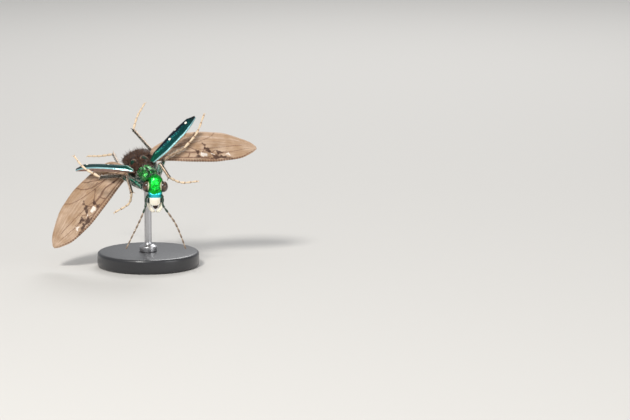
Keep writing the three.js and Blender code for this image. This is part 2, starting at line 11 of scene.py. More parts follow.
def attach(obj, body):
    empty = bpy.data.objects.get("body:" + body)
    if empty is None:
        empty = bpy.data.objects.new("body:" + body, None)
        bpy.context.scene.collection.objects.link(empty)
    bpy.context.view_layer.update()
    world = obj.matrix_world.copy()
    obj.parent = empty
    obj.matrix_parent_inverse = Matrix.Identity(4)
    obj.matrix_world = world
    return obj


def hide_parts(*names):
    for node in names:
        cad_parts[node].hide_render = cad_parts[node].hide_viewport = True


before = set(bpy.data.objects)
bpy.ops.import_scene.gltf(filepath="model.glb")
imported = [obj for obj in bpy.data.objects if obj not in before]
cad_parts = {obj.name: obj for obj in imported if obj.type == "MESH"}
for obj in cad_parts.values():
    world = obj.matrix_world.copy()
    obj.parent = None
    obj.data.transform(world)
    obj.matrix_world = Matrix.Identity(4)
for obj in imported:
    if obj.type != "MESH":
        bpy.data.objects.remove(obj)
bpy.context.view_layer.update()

# Thorax: the wing-bearing box of the body, one hard capsule with a brown, lumpy, hairy back, two round
# dark green lobes on it, and the middle and hind coxae below. It carries every other piece, so the
# animal's heading and bank are set here.
MM = 0.001
FLIGHT_HEIGHT = 13.2  # millimetres from the floor to the thorax's middle
HEADING = Vector((0.2, -0.968, -0.154)).normalized()
LEFT_WARD = Vector((0.919, 0.13, 0.373))
ROD_TOP_ON_BODY = Vector((0.1, 0, -1.7))
UP_WARD = HEADING.cross(LEFT_WARD).normalized()
LEFT = UP_WARD.cross(HEADING)
attitude = Matrix((HEADING, LEFT, UP_WARD)).transposed().to_4x4()
rod_top = attitude @ ROD_TOP_ON_BODY
attitude.translation = Vector((-rod_top.x, -rod_top.y, FLIGHT_HEIGHT))
SIDES = (("left", 1), ("right", -1))
POINT_RADIUS = 0.012  # of the tip of a thorn or claw
WAY_STEPS = 24  # fine steps between two given points of a way
RING_EVENNESS = 0.6  # 1 spaces a trunk's rings evenly, and 0 crowds them most at its ends
LUMP_FALL, LUMP_STEP = 0.9, 2.1  # how fast the finer lumps of a crumple fade, and how much finer they are


def cubic(start, leaving, end, arriving, t):
    """The curve from start to end whose slopes there are leaving and arriving."""
    return (
        start * (2 * t**3 - 3 * t**2 + 1) + leaving * (t**3 - 2 * t**2 + t)
        + end * (3 * t**2 - 2 * t**3) + arriving * (t**3 - t**2)
    )


def smoothed(rows, place):
    """The values of a smooth curve through rows of (place, value, ...), without overshoot."""
    rows = sorted(rows)
    places = np.array([row[0] for row in rows], float)
    values = np.array([row[1:] for row in rows], float)
    steps = np.diff(places)[:, None]
    slopes = np.diff(values, axis=0) / steps
    tangents = np.zeros_like(values)
    tangents[0] = slopes[0]
    tangents[-1] = slopes[-1]
    same_way = slopes[:-1] * slopes[1:] > 0
    mean = 2 * slopes[:-1] * slopes[1:] / np.where(same_way, slopes[:-1] + slopes[1:], 1)
    tangents[1:-1] = np.where(same_way, mean, 0)
    i = int(np.clip(np.searchsorted(places, place) - 1, 0, len(places) - 2))
    h = steps[i, 0]
    t = min(max((place - places[i]) / h, 0), 1)
    return cubic(values[i], tangents[i] * h, values[i + 1], tangents[i + 1] * h, t)


def bump(distance, width):
    """A soft round hill: 1 at its middle and near 0 a width away."""
    return math.exp(-((distance / width) ** 2) * 2)


def crumple(place, size, octaves=3):
    """Smooth random height, about -1 to 1, whose lumps are about size across."""
    return fractal(Vector(place) / size, LUMP_FALL, LUMP_STEP, octaves)


def rise_between(low, high, value):
    """0 below low, 1 above high, and a soft rise between them."""
    t = min(max((value - low) / (high - low), 0), 1)
    return t * t * (3 - 2 * t)


class Form:
    """The points, faces and marks of one piece, in millimetres on the body's axes or on place's.

    A mark is three numbers that the piece's finish reads at each point.
    """

    def __init__(self, place=Matrix.Identity(4)):
        self.points = []
        self.faces = []
        self.marks = []
        self.place = place

    def rings(self, rings, marks):
        """A closed skin through rings of points, with a fan over each end."""
        first, sides = len(self.points), len(rings[0])
        for ring, ring_marks in zip(rings, marks):
            self.points += [self.place @ Vector(p) for p in ring]
            self.marks += ring_marks
        for i in range(len(rings) - 1):
            a, b = first + i * sides, first + (i + 1) * sides
            for j in range(sides):
                k = (j + 1) % sides
                self.faces.append((b + j, b + k, a + k, a + j))
        for ring, start, turn in ((0, first, 1), (-1, first + (len(rings) - 1) * sides, -1)):
            self.points.append(self.place @ (sum((Vector(p) for p in rings[ring]), Vector()) / sides))
            self.marks.append(marks[ring][0])
            hub = len(self.points) - 1
            for j in range(sides):
                self.faces.append((start + j, start + (j + 1) % sides, hub)[::turn])
        return self

    def trunk(self, rows, rings, sides, shape, squareness=2.0):
        """A body along X from rows of (x, half width, top, bottom).

        shape gives how far each point moves outwards, and its third mark.
        """
        start, end = rows[0][0], rows[-1][0]
        skins, marks = [], []
        for i in range(rings):
            share = i / (rings - 1)
            eased = 0.5 - 0.5 * math.cos(math.pi * share)
            x = start + (end - start) * (RING_EVENNESS * share + (1 - RING_EVENNESS) * eased)
            half_width, top, bottom = smoothed(rows, x)
            middle, half_height = (top + bottom) / 2, (top - bottom) / 2
            ring, ring_marks = [], []
            for j in range(sides):
                angle = 2 * math.pi * j / sides
                across, above = math.cos(angle), math.sin(angle)
                power = 2 / squareness
                y = math.copysign(abs(across) ** power, across)
                z = math.copysign(abs(above) ** power, above)
                out, mark = shape(x, y, z)
                ring.append((x, y * (half_width + out), middle + z * (half_height + out)))
                ring_marks.append((share, z, mark))
            skins.append(ring)
            marks.append(ring_marks)
        if end > start:
            skins, marks = skins[::-1], marks[::-1]
        return self.rings(skins, marks)

    def tube(self, points, radii, steps, sides, flat=1.0):
        """A round limb through points, its radius read from rows of (share of the length, radius)."""
        path = way_through(points, steps + 1)
        ahead = [(path[min(i + 1, steps)] - path[max(i - 1, 0)]).normalized() for i in range(steps + 1)]
        steep = abs(ahead[0].z) >= 0.9
        side = ahead[0].cross(Vector((1, 0, 0)) if steep else Vector((0, 0, 1))).normalized()
        skins, marks = [], []
        for i, centre in enumerate(path):
            side = (side - ahead[i] * side.dot(ahead[i])).normalized()
            up = side.cross(ahead[i])
            share = i / steps
            radius = float(smoothed(radii, share)[0])
            ring, ring_marks = [], []
            for j in range(sides):
                angle = 2 * math.pi * j / sides
                ring.append(centre + side * radius * math.cos(angle) + up * radius * flat * math.sin(angle))
                ring_marks.append((share, math.cos(angle), math.sin(angle)))
            skins.append(ring)
            marks.append(ring_marks)
        return self.rings(skins, marks)

    def thorn(self, root, direction, length, radius):
        """A short spike from root, pointed at its end."""
        tip = Vector(root) + Vector(direction).normalized() * length
        return self.tube([Vector(root), tip], [(0, radius), (0.5, radius * 0.7), (1, POINT_RADIUS)], 3, 6)

    def joints(self, points, girths, profile, points_each, steps, sides):
        """A row of joints along one curve: a girth for each, and their shared profile.

        The profile is rows of (share of the joint's length, share of its girth). The marks are the
        share of the joint's length and the share of the row that lies before the joint.
        """
        path = way_through(points, points_each * len(girths) + 1)
        for n, girth in enumerate(girths):
            radii = [(share, girth * width) for share, width in profile]
            first = len(self.marks)
            self.tube(path[points_each * n:points_each * (n + 1) + 1], radii, steps, sides)
            self.marks[first:] = [(mark[0], n / len(girths), 0) for mark in self.marks[first:]]
        return self

    def made(self, name, finish, slot, node):
        """The finished piece: its mesh in metres where the animal holds it, in place of its node."""
        mesh = bpy.data.meshes.new(name)
        mesh.from_pydata([tuple((attitude @ p) * MM) for p in self.points], [], self.faces)
        mark = mesh.attributes.new("mark", "FLOAT_VECTOR", "POINT")
        mark.data.foreach_set("vector", np.array(self.marks, np.float32).ravel())
        mesh.polygons.foreach_set("use_smooth", [True] * len(mesh.polygons))
        mesh.materials.append(finish)
        return fixed(name, mesh, node)


def fixed(name, mesh, node):
    """The object of a finished mesh. It rides the part's one body and replaces the solid node."""
    piece = bpy.data.objects.new(name, mesh)
    bpy.context.scene.collection.objects.link(piece)
    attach(piece, "root")
    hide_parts(node)
    return piece


def way_through(points, count):
    """Evenly spaced points along a smooth curve through the given ones."""
    points = [Vector(p) for p in points]
    knots = [points[0] * 2 - points[1], *points, points[-1] * 2 - points[-2]]
    fine = []
    for p0, p1, p2, p3 in zip(knots, knots[1:], knots[2:], knots[3:]):
        t0, t1, t2 = (max((b - a).length, 1e-6) ** 0.5 for a, b in ((p0, p1), (p1, p2), (p2, p3)))
        out = (p1 - p0) / t0 - (p2 - p0) / (t0 + t1) + (p2 - p1) / t1
        into = (p2 - p1) / t1 - (p3 - p1) / (t1 + t2) + (p3 - p2) / t2
        fine += [cubic(p1, out * t1, p2, into * t1, i / WAY_STEPS) for i in range(WAY_STEPS)]
    fine.append(points[-1])
    lengths = np.cumsum([0] + [(b - a).length for a, b in zip(fine, fine[1:])])
    even = np.linspace(0, lengths[-1], count)
    return [Vector([float(np.interp(s, lengths, [p[k] for p in fine])) for k in range(3)]) for s in even]


class Wire:
    """One output of a shader node, so that shader maths reads as ordinary sums."""

    def __init__(self, finish, socket):
        self.finish = finish
        self.socket = socket

    def maths(self, operation, *values):
        return self.finish.node("ShaderNodeMath", {"operation": operation}, dict(enumerate(values)))

    def __add__(self, other):
        return self.maths("ADD", self, other)

    def __sub__(self, other):
        return self.maths("SUBTRACT", self, other)

    def __rsub__(self, other):
        return self.maths("SUBTRACT", other, self)

    def __mul__(self, other):
        return self.maths("MULTIPLY", self, other)

    __radd__ = __add__
    __rmul__ = __mul__

    def between(self, low, high):
        """0 below low, 1 above high, and a soft rise between them."""
        settings = {"interpolation_type": "SMOOTHSTEP"}
        values = {"Value": self, "From Min": low, "From Max": high}
        return self.finish.node("ShaderNodeMapRange", settings, values)


def add_node(tree, kind, settings, values):
    """A new node with its settings, its inputs given or linked, and its outputs handed back."""
    made = tree.nodes.new(kind)
    for key, value in (settings or {}).items():
        setattr(made, key, value)
    for socket, value in (values or {}).items():
        join(tree, made.inputs[socket], value)
    return made.outputs


def join(tree, socket, value):
    """Links an input to another node's output, or gives it a value of its own."""
    if isinstance(value, Wire):
        value = value.socket
    if isinstance(value, bpy.types.NodeSocket):
        tree.links.new(value, socket)
    elif socket.type == "RGBA":
        socket.default_value = (*value, 1)
    else:
        socket.default_value = value


class Finish:
    """A material and its nodes. Constants are the numbers that are the same all over the piece."""

    def __init__(self, name, **constants):
        self.material = bpy.data.materials.new(name)
        self.material.use_nodes = True
        self.tree = self.material.node_tree
        self.surface = self.tree.nodes["Principled BSDF"]
        for socket, value in constants.items():
            self.surface.inputs[socket.replace("_", " ").title().replace("Ior", "IOR")].default_value = value

    def node(self, kind, settings=None, values=None, output=0):
        return Wire(self, add_node(self.tree, kind, settings, values)[output])

    def mark(self, part):
        """One of the piece's three marks, as X, Y or Z."""
        marks = self.node("ShaderNodeAttribute", {"attribute_name": "mark"}, output="Vector")
        return self.node("ShaderNodeSeparateXYZ", None, {0: marks}, part)

    def noise(self, size, detail=3.0, stretch=(1, 1, 1)):
        """Cloudy noise whose blotches are about size millimetres across."""
        here = self.node("ShaderNodeTexCoord", output="Object")
        here = self.node("ShaderNodeMapping", None, {0: here, "Scale": stretch})
        values = {"Vector": here, "Scale": 1 / (size * MM), "Detail": detail}
        return self.node("ShaderNodeTexNoise", None, values)

    def cells(self, size):
        """Distance from the middles of packed cells about size millimetres across."""
        here = self.node("ShaderNodeTexCoord", output="Object")
        return self.node("ShaderNodeTexVoronoi", None, {"Vector": here, "Scale": 1 / (size * MM)}, "Distance")

    def blend(self, share, first, second):
        """The first colour where share is 0 and the second where it is 1."""
        settings = {"data_type": "RGBA", "clamp_factor": True}
        return self.node("ShaderNodeMix", settings, {0: share, 6: first, 7: second}, 2)

    def shown(self, colour, roughness=None, metallic=None, alpha=None, height=None, depth=0.02):
        """Joins what varies over the surface, and returns the material.

        Depth is how many millimetres of relief the height stands for.
        """
        varied = {"Base Color": colour, "Roughness": roughness, "Metallic": metallic, "Alpha": alpha}
        if height is not None:
            varied["Normal"] = self.node("ShaderNodeBump", None, {"Height": height, "Distance": depth * MM})
        for socket, value in varied.items():
            if value is not None:
                join(self.tree, self.surface.inputs[socket], value)
        return self.material


THORAX_ROWS = [
    (1.75, 1.2, 1.05, -0.9), (1.1, 1.7, 1.35, -1.45), (0, 2.0, 1.5, -1.7),
    (-1.2, 2.15, 1.85, -1.7), (-2.1, 2.1, 1.85, -1.5), (-2.6, 1.95, 1.7, -1.35),
]
LOBES = [(-0.45, 0.85), (-0.45, -0.85)]  # the two round lobes of the metanotum, along and across
LOBE_WIDTH = 0.68
# Lumps on both sides where the wings hinge and the flight muscles lie: along, across, height, width
HUMPS = [
    (0.35, 1.45, 0.14, 0.35), (-1.25, 1.6, 0.2, 0.42), (-1.75, 0.75, 0.13, 0.45),
    (-2.2, 1.35, 0.12, 0.32), (0.95, 0.0, 0.12, 0.5), (-1.45, 0.0, 0.1, 0.3),
]
COXAE = {
    "front": ((3.0, 0.55, -0.55), (3.25, 0.75, -1.35)),
    "middle": ((0.55, 0.75, -1.2), (0.4, 1.3, -1.75)),
    "hind": ((-1.75, 0.75, -1.2), (-1.95, 1.5, -1.8)),
}
COXA_RADII = [(0, 0.5), (0.6, 0.49), (1, 0.36)]
THORAX_INSET = 0.05  # how far the skin lies inside its rows, which leaves room for its lumps
LOBE_RISE = 0.18
BACK_GROOVE = {"depth": 0.12, "width": 0.2}
BACK_LUMPS = {"height": 0.13, "size": 0.55}
SIDE_SEAMS = {"at": (1.15, -1.45), "slant": 0.35, "depth": 0.07, "width": 0.12}


def add_coxae(form, *names):
    """Adds pairs of coxae to a form. Their marks give them the colour of the thorax's sides."""
    for name in names:
        for _, sign in SIDES:
            root, tip = (Vector((x, sign * y, z)) for x, y, z in COXAE[name])
            first = len(form.marks)
            form.tube([root, tip], COXA_RADII, 16, 28)
            form.marks[first:] = [(mark[0], -0.2, 0) for mark in form.marks[first:]]
    return form


def thorax_shape(x, y, z):
    """Raised lobes, a groove down the back between them, lumps, and seams between the side plates."""
    out = -THORAX_INSET
    lobe = 0
    if z > 0:
        aside = y * smoothed(THORAX_ROWS, x)[0]
        for along, across in LOBES:
            lobe += bump(math.hypot(x - along, aside - across), LOBE_WIDTH)
        out += LOBE_RISE * lobe - BACK_GROOVE["depth"] * bump(aside, BACK_GROOVE["width"]) * z
        lumps = BACK_LUMPS["height"] * crumple((x, aside, 3), BACK_LUMPS["size"], 4)
        out += lumps * rise_between(0.15, 0.45, z)
        for along, across, height, width in HUMPS:
            out += height * bump(math.hypot(x - along, abs(aside) - across), width)
    for seam in SIDE_SEAMS["at"]:
        out -= SIDE_SEAMS["depth"] * bump(x - seam + SIDE_SEAMS["slant"] * z, SIDE_SEAMS["width"])
    return out, lobe


def thorax_finish():
    """Brown and dull on the back, metallic green at the sides and on the lobes, with a painted highlight as a
    pale rim on the rear side of each lobe.
    """
    finish = Finish("thorax_cuticle", specular_ior_level=0.3)
    height_on_body = finish.mark("Y")
    lobe = finish.mark("Z")
    mottle = finish.noise(0.3, 5)
    brown = finish.blend(mottle.between(0.38, 0.62), (0.006, 0.002, 0.0015), (0.075, 0.026, 0.012))
    side = finish.blend(mottle.between(0.35, 0.65), (0.002, 0.02, 0.02), (0.012, 0.16, 0.12))
    back = height_on_body.between(0.25, 0.55)
    colour = finish.blend(back, side, brown)
    crown = lobe.between(0.5, 0.85) * back
    # The pale rim round the rear of each lobe is a painted highlight.
    rear = finish.mark("X").between(0.45, 0.55)
    rim = lobe.between(0.2, 0.3) * lobe.between(0.48, 0.36) * back * rear
    green = finish.blend(mottle, (0.001, 0.016, 0.012), (0.01, 0.08, 0.045))
    colour = finish.blend(crown, colour, green)
    colour = finish.blend(rim * 0.8, colour, (0.42, 0.32, 0.22))
    metallic = 0.8 - 0.8 * back + 0.6 * crown
    pits = finish.cells(0.07)
    return finish.shown(colour, 0.3 + 0.22 * back, metallic, height=pits + mottle, depth=0.07)


HAIR_SIDES = 4
HAIR_STRAY = 0.35  # how far a hair strays from its lean
HAIR_LENGTHS = (0.5, 1.1)  # shares of the length that is asked for
HAIR_PATCH = 0.003  # how wide each hair's patch is on its map
MAP_MARGIN = 0.01
EVERYWHERE = (-9, 9)  # limits past every mark


def hair_tree():
    """Geometry nodes that set tapering hairs over a skin, where its second and third marks allow."""
    tree = bpy.data.node_groups.new("hairs", "GeometryNodeTree")
    sizes = {
        "Skin": "Geometry", "Hairs per square metre": "Float", "Length": "Float", "Thickness": "Float",
        "Lean": "Vector", "Bare below": "Float", "Bare above": "Float", "Bare on lobes": "Float",
        "Seed": "Int", "Finish": "Material",
    }
    for name, kind in sizes.items():
        tree.interface.new_socket(name, in_out="INPUT", socket_type=f"NodeSocket{kind}")
    tree.interface.new_socket("Hairs", in_out="OUTPUT", socket_type="NodeSocketGeometry")

    def node(kind, settings=None, values=None):
        return add_node(tree, kind, settings, values)

    given = node("NodeGroupInput")
    marks = node("GeometryNodeInputNamedAttribute", {"data_type": "FLOAT_VECTOR"}, {"Name": "mark"})
    marks = node("ShaderNodeSeparateXYZ", None, {0: marks[0]})
    limits = [("Y", "GREATER_THAN", "Bare below"), ("Y", "LESS_THAN", "Bare above")]
    limits.append(("Z", "LESS_THAN", "Bare on lobes"))
    grows = None
    for mark, operation, limit in limits:
        here = node("FunctionNodeCompare", {"operation": operation}, {0: marks[mark], 1: given[limit]})[0]
        both = {0: grows, 1: here}
        grows = node("FunctionNodeBooleanMath", {"operation": "AND"}, both)[0] if grows else here
    spread = {"Mesh": given["Skin"], "Selection": grows, "Seed": given["Seed"]}
    spread["Density"] = given["Hairs per square metre"]
    spots = node("GeometryNodeDistributePointsOnFaces", None, spread)
    stray = {0: (-HAIR_STRAY,) * 3, 1: (HAIR_STRAY,) * 3, "Seed": given["Seed"]}
    stray = node("FunctionNodeRandomValue", {"data_type": "FLOAT_VECTOR"}, stray)
    leaning = node("ShaderNodeVectorMath", {"operation": "ADD"}, {0: given["Lean"], 1: stray[0]})
    way = node("ShaderNodeVectorMath", {"operation": "ADD"}, {0: spots["Normal"], 1: leaning[0]})
    turn = node("FunctionNodeAlignRotationToVector", {"axis": "Z"}, {"Vector": way[0]})
    spans = {2: HAIR_LENGTHS[0], 3: HAIR_LENGTHS[1], "Seed": given["Seed"]}
    lengths = node("FunctionNodeRandomValue", {"data_type": "FLOAT"}, spans)
    cone = {"Vertices": HAIR_SIDES, "Radius Bottom": given["Thickness"], "Depth": given["Length"]}
    hair = node("GeometryNodeMeshCone", None, cone)["Mesh"]
    values = {"Points": spots["Points"], "Instance": hair, "Rotation": turn[0], "Scale": lengths[1]}
    hairs = node("GeometryNodeInstanceOnPoints", None, values)
    solid = node("GeometryNodeRealizeInstances", None, {"Geometry": hairs[0]})
    finished = node("GeometryNodeSetMaterial", None, {"Geometry": solid[0], "Material": given["Finish"]})
    node("NodeGroupOutput", None, {"Hairs": finished[0]})
    return tree


def map_hairs(mesh, skin):
    """Gives each hair a small patch at its root's place on an unwrap of the skin round its long axis.

    A hair's cone is its tip and then its root's corners. Across the map runs the angle round the axis,
    and up it the place along the axis.
    """
    places = np.array([vertex.co for vertex in skin.data.vertices])
    middle = places.mean(axis=0)
    axes = np.linalg.svd(places - middle, full_matrices=False)[2]
    reach = np.abs((places - middle) @ axes[0]).max()
    corners = HAIR_SIDES + 1
    points = np.array([vertex.co for vertex in mesh.vertices]).reshape(-1, corners, 3)
    roots = (points[:, 1:].mean(axis=1) - middle) @ axes.T
    round_skin = np.arctan2(roots[:, 2], roots[:, 1]) / (2 * math.pi) + 0.5
    along_skin = np.clip(roots[:, 0] / reach, -1, 1) / 2 + 0.5
    patches = MAP_MARGIN + (1 - 2 * MAP_MARGIN) * np.stack([round_skin, along_skin], axis=1)
    half = HAIR_PATCH / 2
    spread = np.array([(0, 0), (half, half), (-half, half), (-half, -half), (half, -half)])
    loops = np.empty(len(mesh.loops), int)
    mesh.loops.foreach_get("vertex_index", loops)
    layer = mesh.uv_layers.new(name="OFBake")
    layer.data.foreach_set("uv", (patches[loops // corners] + spread[loops % corners]).ravel())


def add_hairs(
    name, skin, node, finish, slot, seed, per_mm2, length, thickness,
    lean=(0, 0, 0), heights=EVERYWHERE, lobes=EVERYWHERE[1],
):
    """A piece of hairs grown on a skin. Lengths are in millimetres, and lean is how far they lie over.

    They grow where the skin's second mark is between the two heights and its third below lobes.
    """
    grower = bpy.data.objects.new(name, skin.data)
    bpy.context.scene.collection.objects.link(grower)
    modifier = grower.modifiers.new("hairs", "NODES")
    modifier.node_group = HAIR_TREE
    values = {
        "Hairs per square metre": per_mm2 / MM**2, "Length": length * MM, "Thickness": thickness * MM,
        "Lean": lean, "Bare below": float(heights[0]), "Bare above": float(heights[1]),
        "Bare on lobes": float(lobes), "Seed": seed, "Finish": finish,
    }
    for item in HAIR_TREE.interface.items_tree:
        if item.in_out == "INPUT" and item.name in values:
            modifier[item.identifier] = values[item.name]
    mesh = bpy.data.meshes.new_from_object(grower.evaluated_get(bpy.context.evaluated_depsgraph_get()))
    bpy.data.objects.remove(grower)
    mesh.name = name
    map_hairs(mesh, skin)
    fixed(name, mesh, node)


def hair_finish(name, dark, light):
    """Hairs of two tones in small patches."""
    finish = Finish(name, roughness=0.5)
    return finish.shown(finish.blend(finish.noise(0.25, 2).between(0.35, 0.65), dark, light))


HAIR_TREE = hair_tree()
BROWN_DOWN = hair_finish("brown_down", (0.02, 0.008, 0.005), (0.17, 0.085, 0.045))
PALE_DOWN = hair_finish("pale_down", (0.6, 0.55, 0.47), (0.85, 0.82, 0.76))
BACK_WARD = tuple(-0.5 * HEADING)  # the lean of hairs that lie half over towards the tail
thorax = Form().trunk(THORAX_ROWS, 110, 120, thorax_shape)
thorax = add_coxae(thorax, "middle", "hind").made("thorax_capsule", thorax_finish(), "dark_cuticle", "thorax")
THORAX_DOWN = [
    ("thorax_back_down", BROWN_DOWN, 3, 34, 0.38, 0.018, BACK_WARD, (0.35, 9), 0.2),
    ("thorax_long_down", BROWN_DOWN, 4, 9, 0.75, 0.022, BACK_WARD, (0.1, 9), 0.1),
    ("thorax_side_down", PALE_DOWN, 5, 22, 0.36, 0.014, BACK_WARD, (-9, 0.25)),
]
for down, finish, *growth in THORAX_DOWN:
    add_hairs(down, thorax, "thorax", finish, "dark_cuticle", *growth)

# Abdomen: seven lapping rings of thin dark cuticle, brown and downy above where the wing cases leave
# it bare, and dark metallic green below. It grows from the hind end of the thorax.
ABDOMEN_ROWS = [
    (-2.4, 1.85, 1.55, -1.15), (-2.9, 1.95, 1.65, -1.2), (-3.9, 2.05, 1.65, -1.2),
    (-5.0, 1.77, 1.37, -1.08), (-5.9, 1.22, 0.93, -0.83), (-6.33, 0.45, 0.6, -0.4),
]
ABDOMEN_SWING = -0.4  # how far its tip swings to the right
ABDOMEN_KEEL = 0.36  # how far its widest line lies above the middle, as a share of the half height
TERGITES = 7
ABDOMEN_INSET = 0.08
LAP_DEPTH = 0.11
LIP_AT = 0.93  # share of a ring at which its lip stands
SIDE_SEAM = {"height": 0.12, "depth": 0.05, "width": 0.12}
TERGITE_FOLDS = {"depth": 0.06, "size": 0.5}


def abdomen_shape(x, y, z):
    """Each ring laps over the next, so the surface climbs to a lip and drops behind it."""
    start, end = ABDOMEN_ROWS[0][0], ABDOMEN_ROWS[-1][0]
    place = (x - start) / (end - start) * TERGITES
    within = place - math.floor(place)
    lip = within**1.5 if within < LIP_AT else (1 - within) / (1 - LIP_AT)
    seam = SIDE_SEAM["depth"] * bump(abs(z) - SIDE_SEAM["height"], SIDE_SEAM["width"])
    folds = TERGITE_FOLDS["depth"] * crumple((x * 2, y, 7), TERGITE_FOLDS["size"])
    out = LAP_DEPTH * (lip - 0.4) - seam + folds * rise_between(-0.1, 0.3, z) - ABDOMEN_INSET
    return out, rise_between(0.8, LIP_AT, within)


def abdomen_finish():
    """Metallic green below, and dull mottled brown above with paler lips to the rings."""
    finish = Finish("abdomen_cuticle", specular_ior_level=0.35)
    mottle = finish.noise(0.35, 4)
    above = finish.mark("Y").between(-0.1, 0.15)
    lip = finish.mark("Z")
    brown = finish.blend(mottle.between(0.38, 0.62), (0.007, 0.003, 0.002), (0.07, 0.026, 0.013))
    brown = finish.blend(lip * 0.6, brown, (0.13, 0.06, 0.03))
    below = finish.blend(mottle, (0.01, 0.07, 0.06), (0.02, 0.2, 0.14))
    colour = finish.blend(above, below, brown)
    relief = finish.cells(0.06) + mottle
    return finish.shown(colour, 0.34 + 0.12 * mottle, 0.8 - 0.8 * above, height=relief, depth=0.02)


def settled(point):
    """The abdomen's section made flat above and keeled below, and its tip swung aside."""
    _, top, bottom = smoothed(ABDOMEN_ROWS, point.x)
    middle, half_height = (top + bottom) / 2, (top - bottom) / 2
    share = (point.x - ABDOMEN_ROWS[0][0]) / (ABDOMEN_ROWS[-1][0] - ABDOMEN_ROWS[0][0])
    above = (point.z - middle) / half_height
    lifted = middle + half_height * (above + ABDOMEN_KEEL * (1 - min(above * above, 1)))
    return Vector((point.x, point.y + ABDOMEN_SWING * share**2, lifted))


abdomen = Form().trunk(ABDOMEN_ROWS, 150, 96, abdomen_shape)
abdomen.points = [settled(point) for point in abdomen.points]
abdomen = abdomen.made("abdomen_rings", abdomen_finish(), "abdomen", "abdomen")
ABDOMEN_DOWN = [
    ("abdomen_down", BROWN_DOWN, 7, 28, 0.36, 0.018, BACK_WARD, (-0.1, 9)),
    ("abdomen_long_down", BROWN_DOWN, 9, 7, 0.7, 0.022, BACK_WARD, (-0.25, 9)),
    ("belly_down", PALE_DOWN, 8, 9, 0.26, 0.012, BACK_WARD, (-9, 0)),
]
for down, finish, *growth in ABDOMEN_DOWN:
    add_hairs(down, abdomen, "abdomen", finish, "abdomen", *growth)

# Pronotum: the collar-like front plate of the body, a barrel of bright green wrinkled cuticle with
# a groove across each end and one down the middle. The front coxae hang below it.
PRONOTUM_TURN = {"yaw": 11, "pitch": 20, "roll": -8}  # degrees
PRONOTUM_ROOT = Vector((1.95, 0.1, 0.6))
PRONOTUM_LENGTH = 2.45
PRONOTUM_ROWS = [
    (-0.25, 0.95, 0.8, -0.85), (0, 1.13, 0.95, -1.0), (0.12, 1.25, 1.06, -1.05), (0.3, 1.2, 0.97, -1.05),
    (0.55, 1.4, 1.13, -1.1), (1.25, 1.46, 1.18, -1.1), (1.85, 1.32, 1.1, -1.05), (2.1, 1.18, 0.97, -1.0),
    (2.3, 1.22, 1.02, -1.0), (PRONOTUM_LENGTH, 1.08, 0.9, -0.9),
]
PRONOTUM_INSET = 0.06
MIDDLE_GROOVE = {"depth": 0.26, "width": 0.1}
DENTS = {"x": 0.62, "y": 0.45, "depth": 0.08, "width": 0.22}
PRONOTUM_FOLDS = {"depth": 0.07, "size": 0.6}


def placed(origin, turn):
    """Where a piece with its own axes sits on the thorax."""
    angles = Euler([math.radians(turn[key]) for key in ("roll", "pitch", "yaw")], "XYZ")
    return Matrix.Translation(origin) @ angles.to_matrix().to_4x4()


def pronotum_shape(x, y, z):
    """A groove down the middle, a dent on each side of it behind, and folds, all on the upper side."""
    above = rise_between(0, 0.5, z)
    groove = MIDDLE_GROOVE["depth"] * bump(y, MIDDLE_GROOVE["width"]) * bump(x - 1.2, 1.6)
    dents = DENTS["depth"] * bump(math.hypot(x - DENTS["x"], abs(y) - DENTS["y"]), DENTS["width"])
    folds = PRONOTUM_FOLDS["depth"] * crumple((x, 2 * y, 11), PRONOTUM_FOLDS["size"], 4)
    return (folds - groove - dents) * above - PRONOTUM_INSET, bump(y, 0.13) * above


def green_finish(name, bright, deep, wrinkle=0.09):
    """Metallic green cuticle that painted shade turns dark blue-green on its sides and underside: the finish
    so far, its colour and its wrinkles.
    """
    finish = Finish(name, coat_weight=0.25, coat_roughness=0.12)
    mottle = finish.noise(0.45, 4)
    height_on_body = finish.mark("Y")
    colour = finish.blend(mottle.between(0.35, 0.65), deep, bright)
    # Painted shade: the colour darkens to deep blue-green below the top of the section.
    colour = finish.blend(height_on_body.between(0.75, -0.1), colour, (0.001, 0.035, 0.035))
    return finish, colour, finish.noise(wrinkle, 5)


def pronotum_finish():
    """Bright green, with painted shade darkening the groove down the middle."""
    finish, colour, wrinkles = green_finish("pronotum_green", (0.03, 0.3, 0.045), (0.001, 0.04, 0.014))
    # Painted shade in the middle groove.
    colour = finish.blend(finish.mark("Z").between(0.1, 0.9), colour, (0.001, 0.02, 0.01))
    return finish.shown(colour, 0.16 + 0.16 * wrinkles, 0.85, height=wrinkles, depth=0.035)


pronotum_frame = placed(PRONOTUM_ROOT, PRONOTUM_TURN)
pronotum = Form(pronotum_frame).trunk(PRONOTUM_ROWS, 90, 96, pronotum_shape)
pronotum.place = Matrix.Identity(4)  # the coxae hang on the body's own axes
pronotum = add_coxae(pronotum, "front").made("pronotum_plate", pronotum_finish(), "green_cuticle", "pronotum")
add_hairs("pronotum_down", pronotum, "pronotum", PALE_DOWN, "green_cuticle", 11, 9, 0.28, 0.012, BACK_WARD)

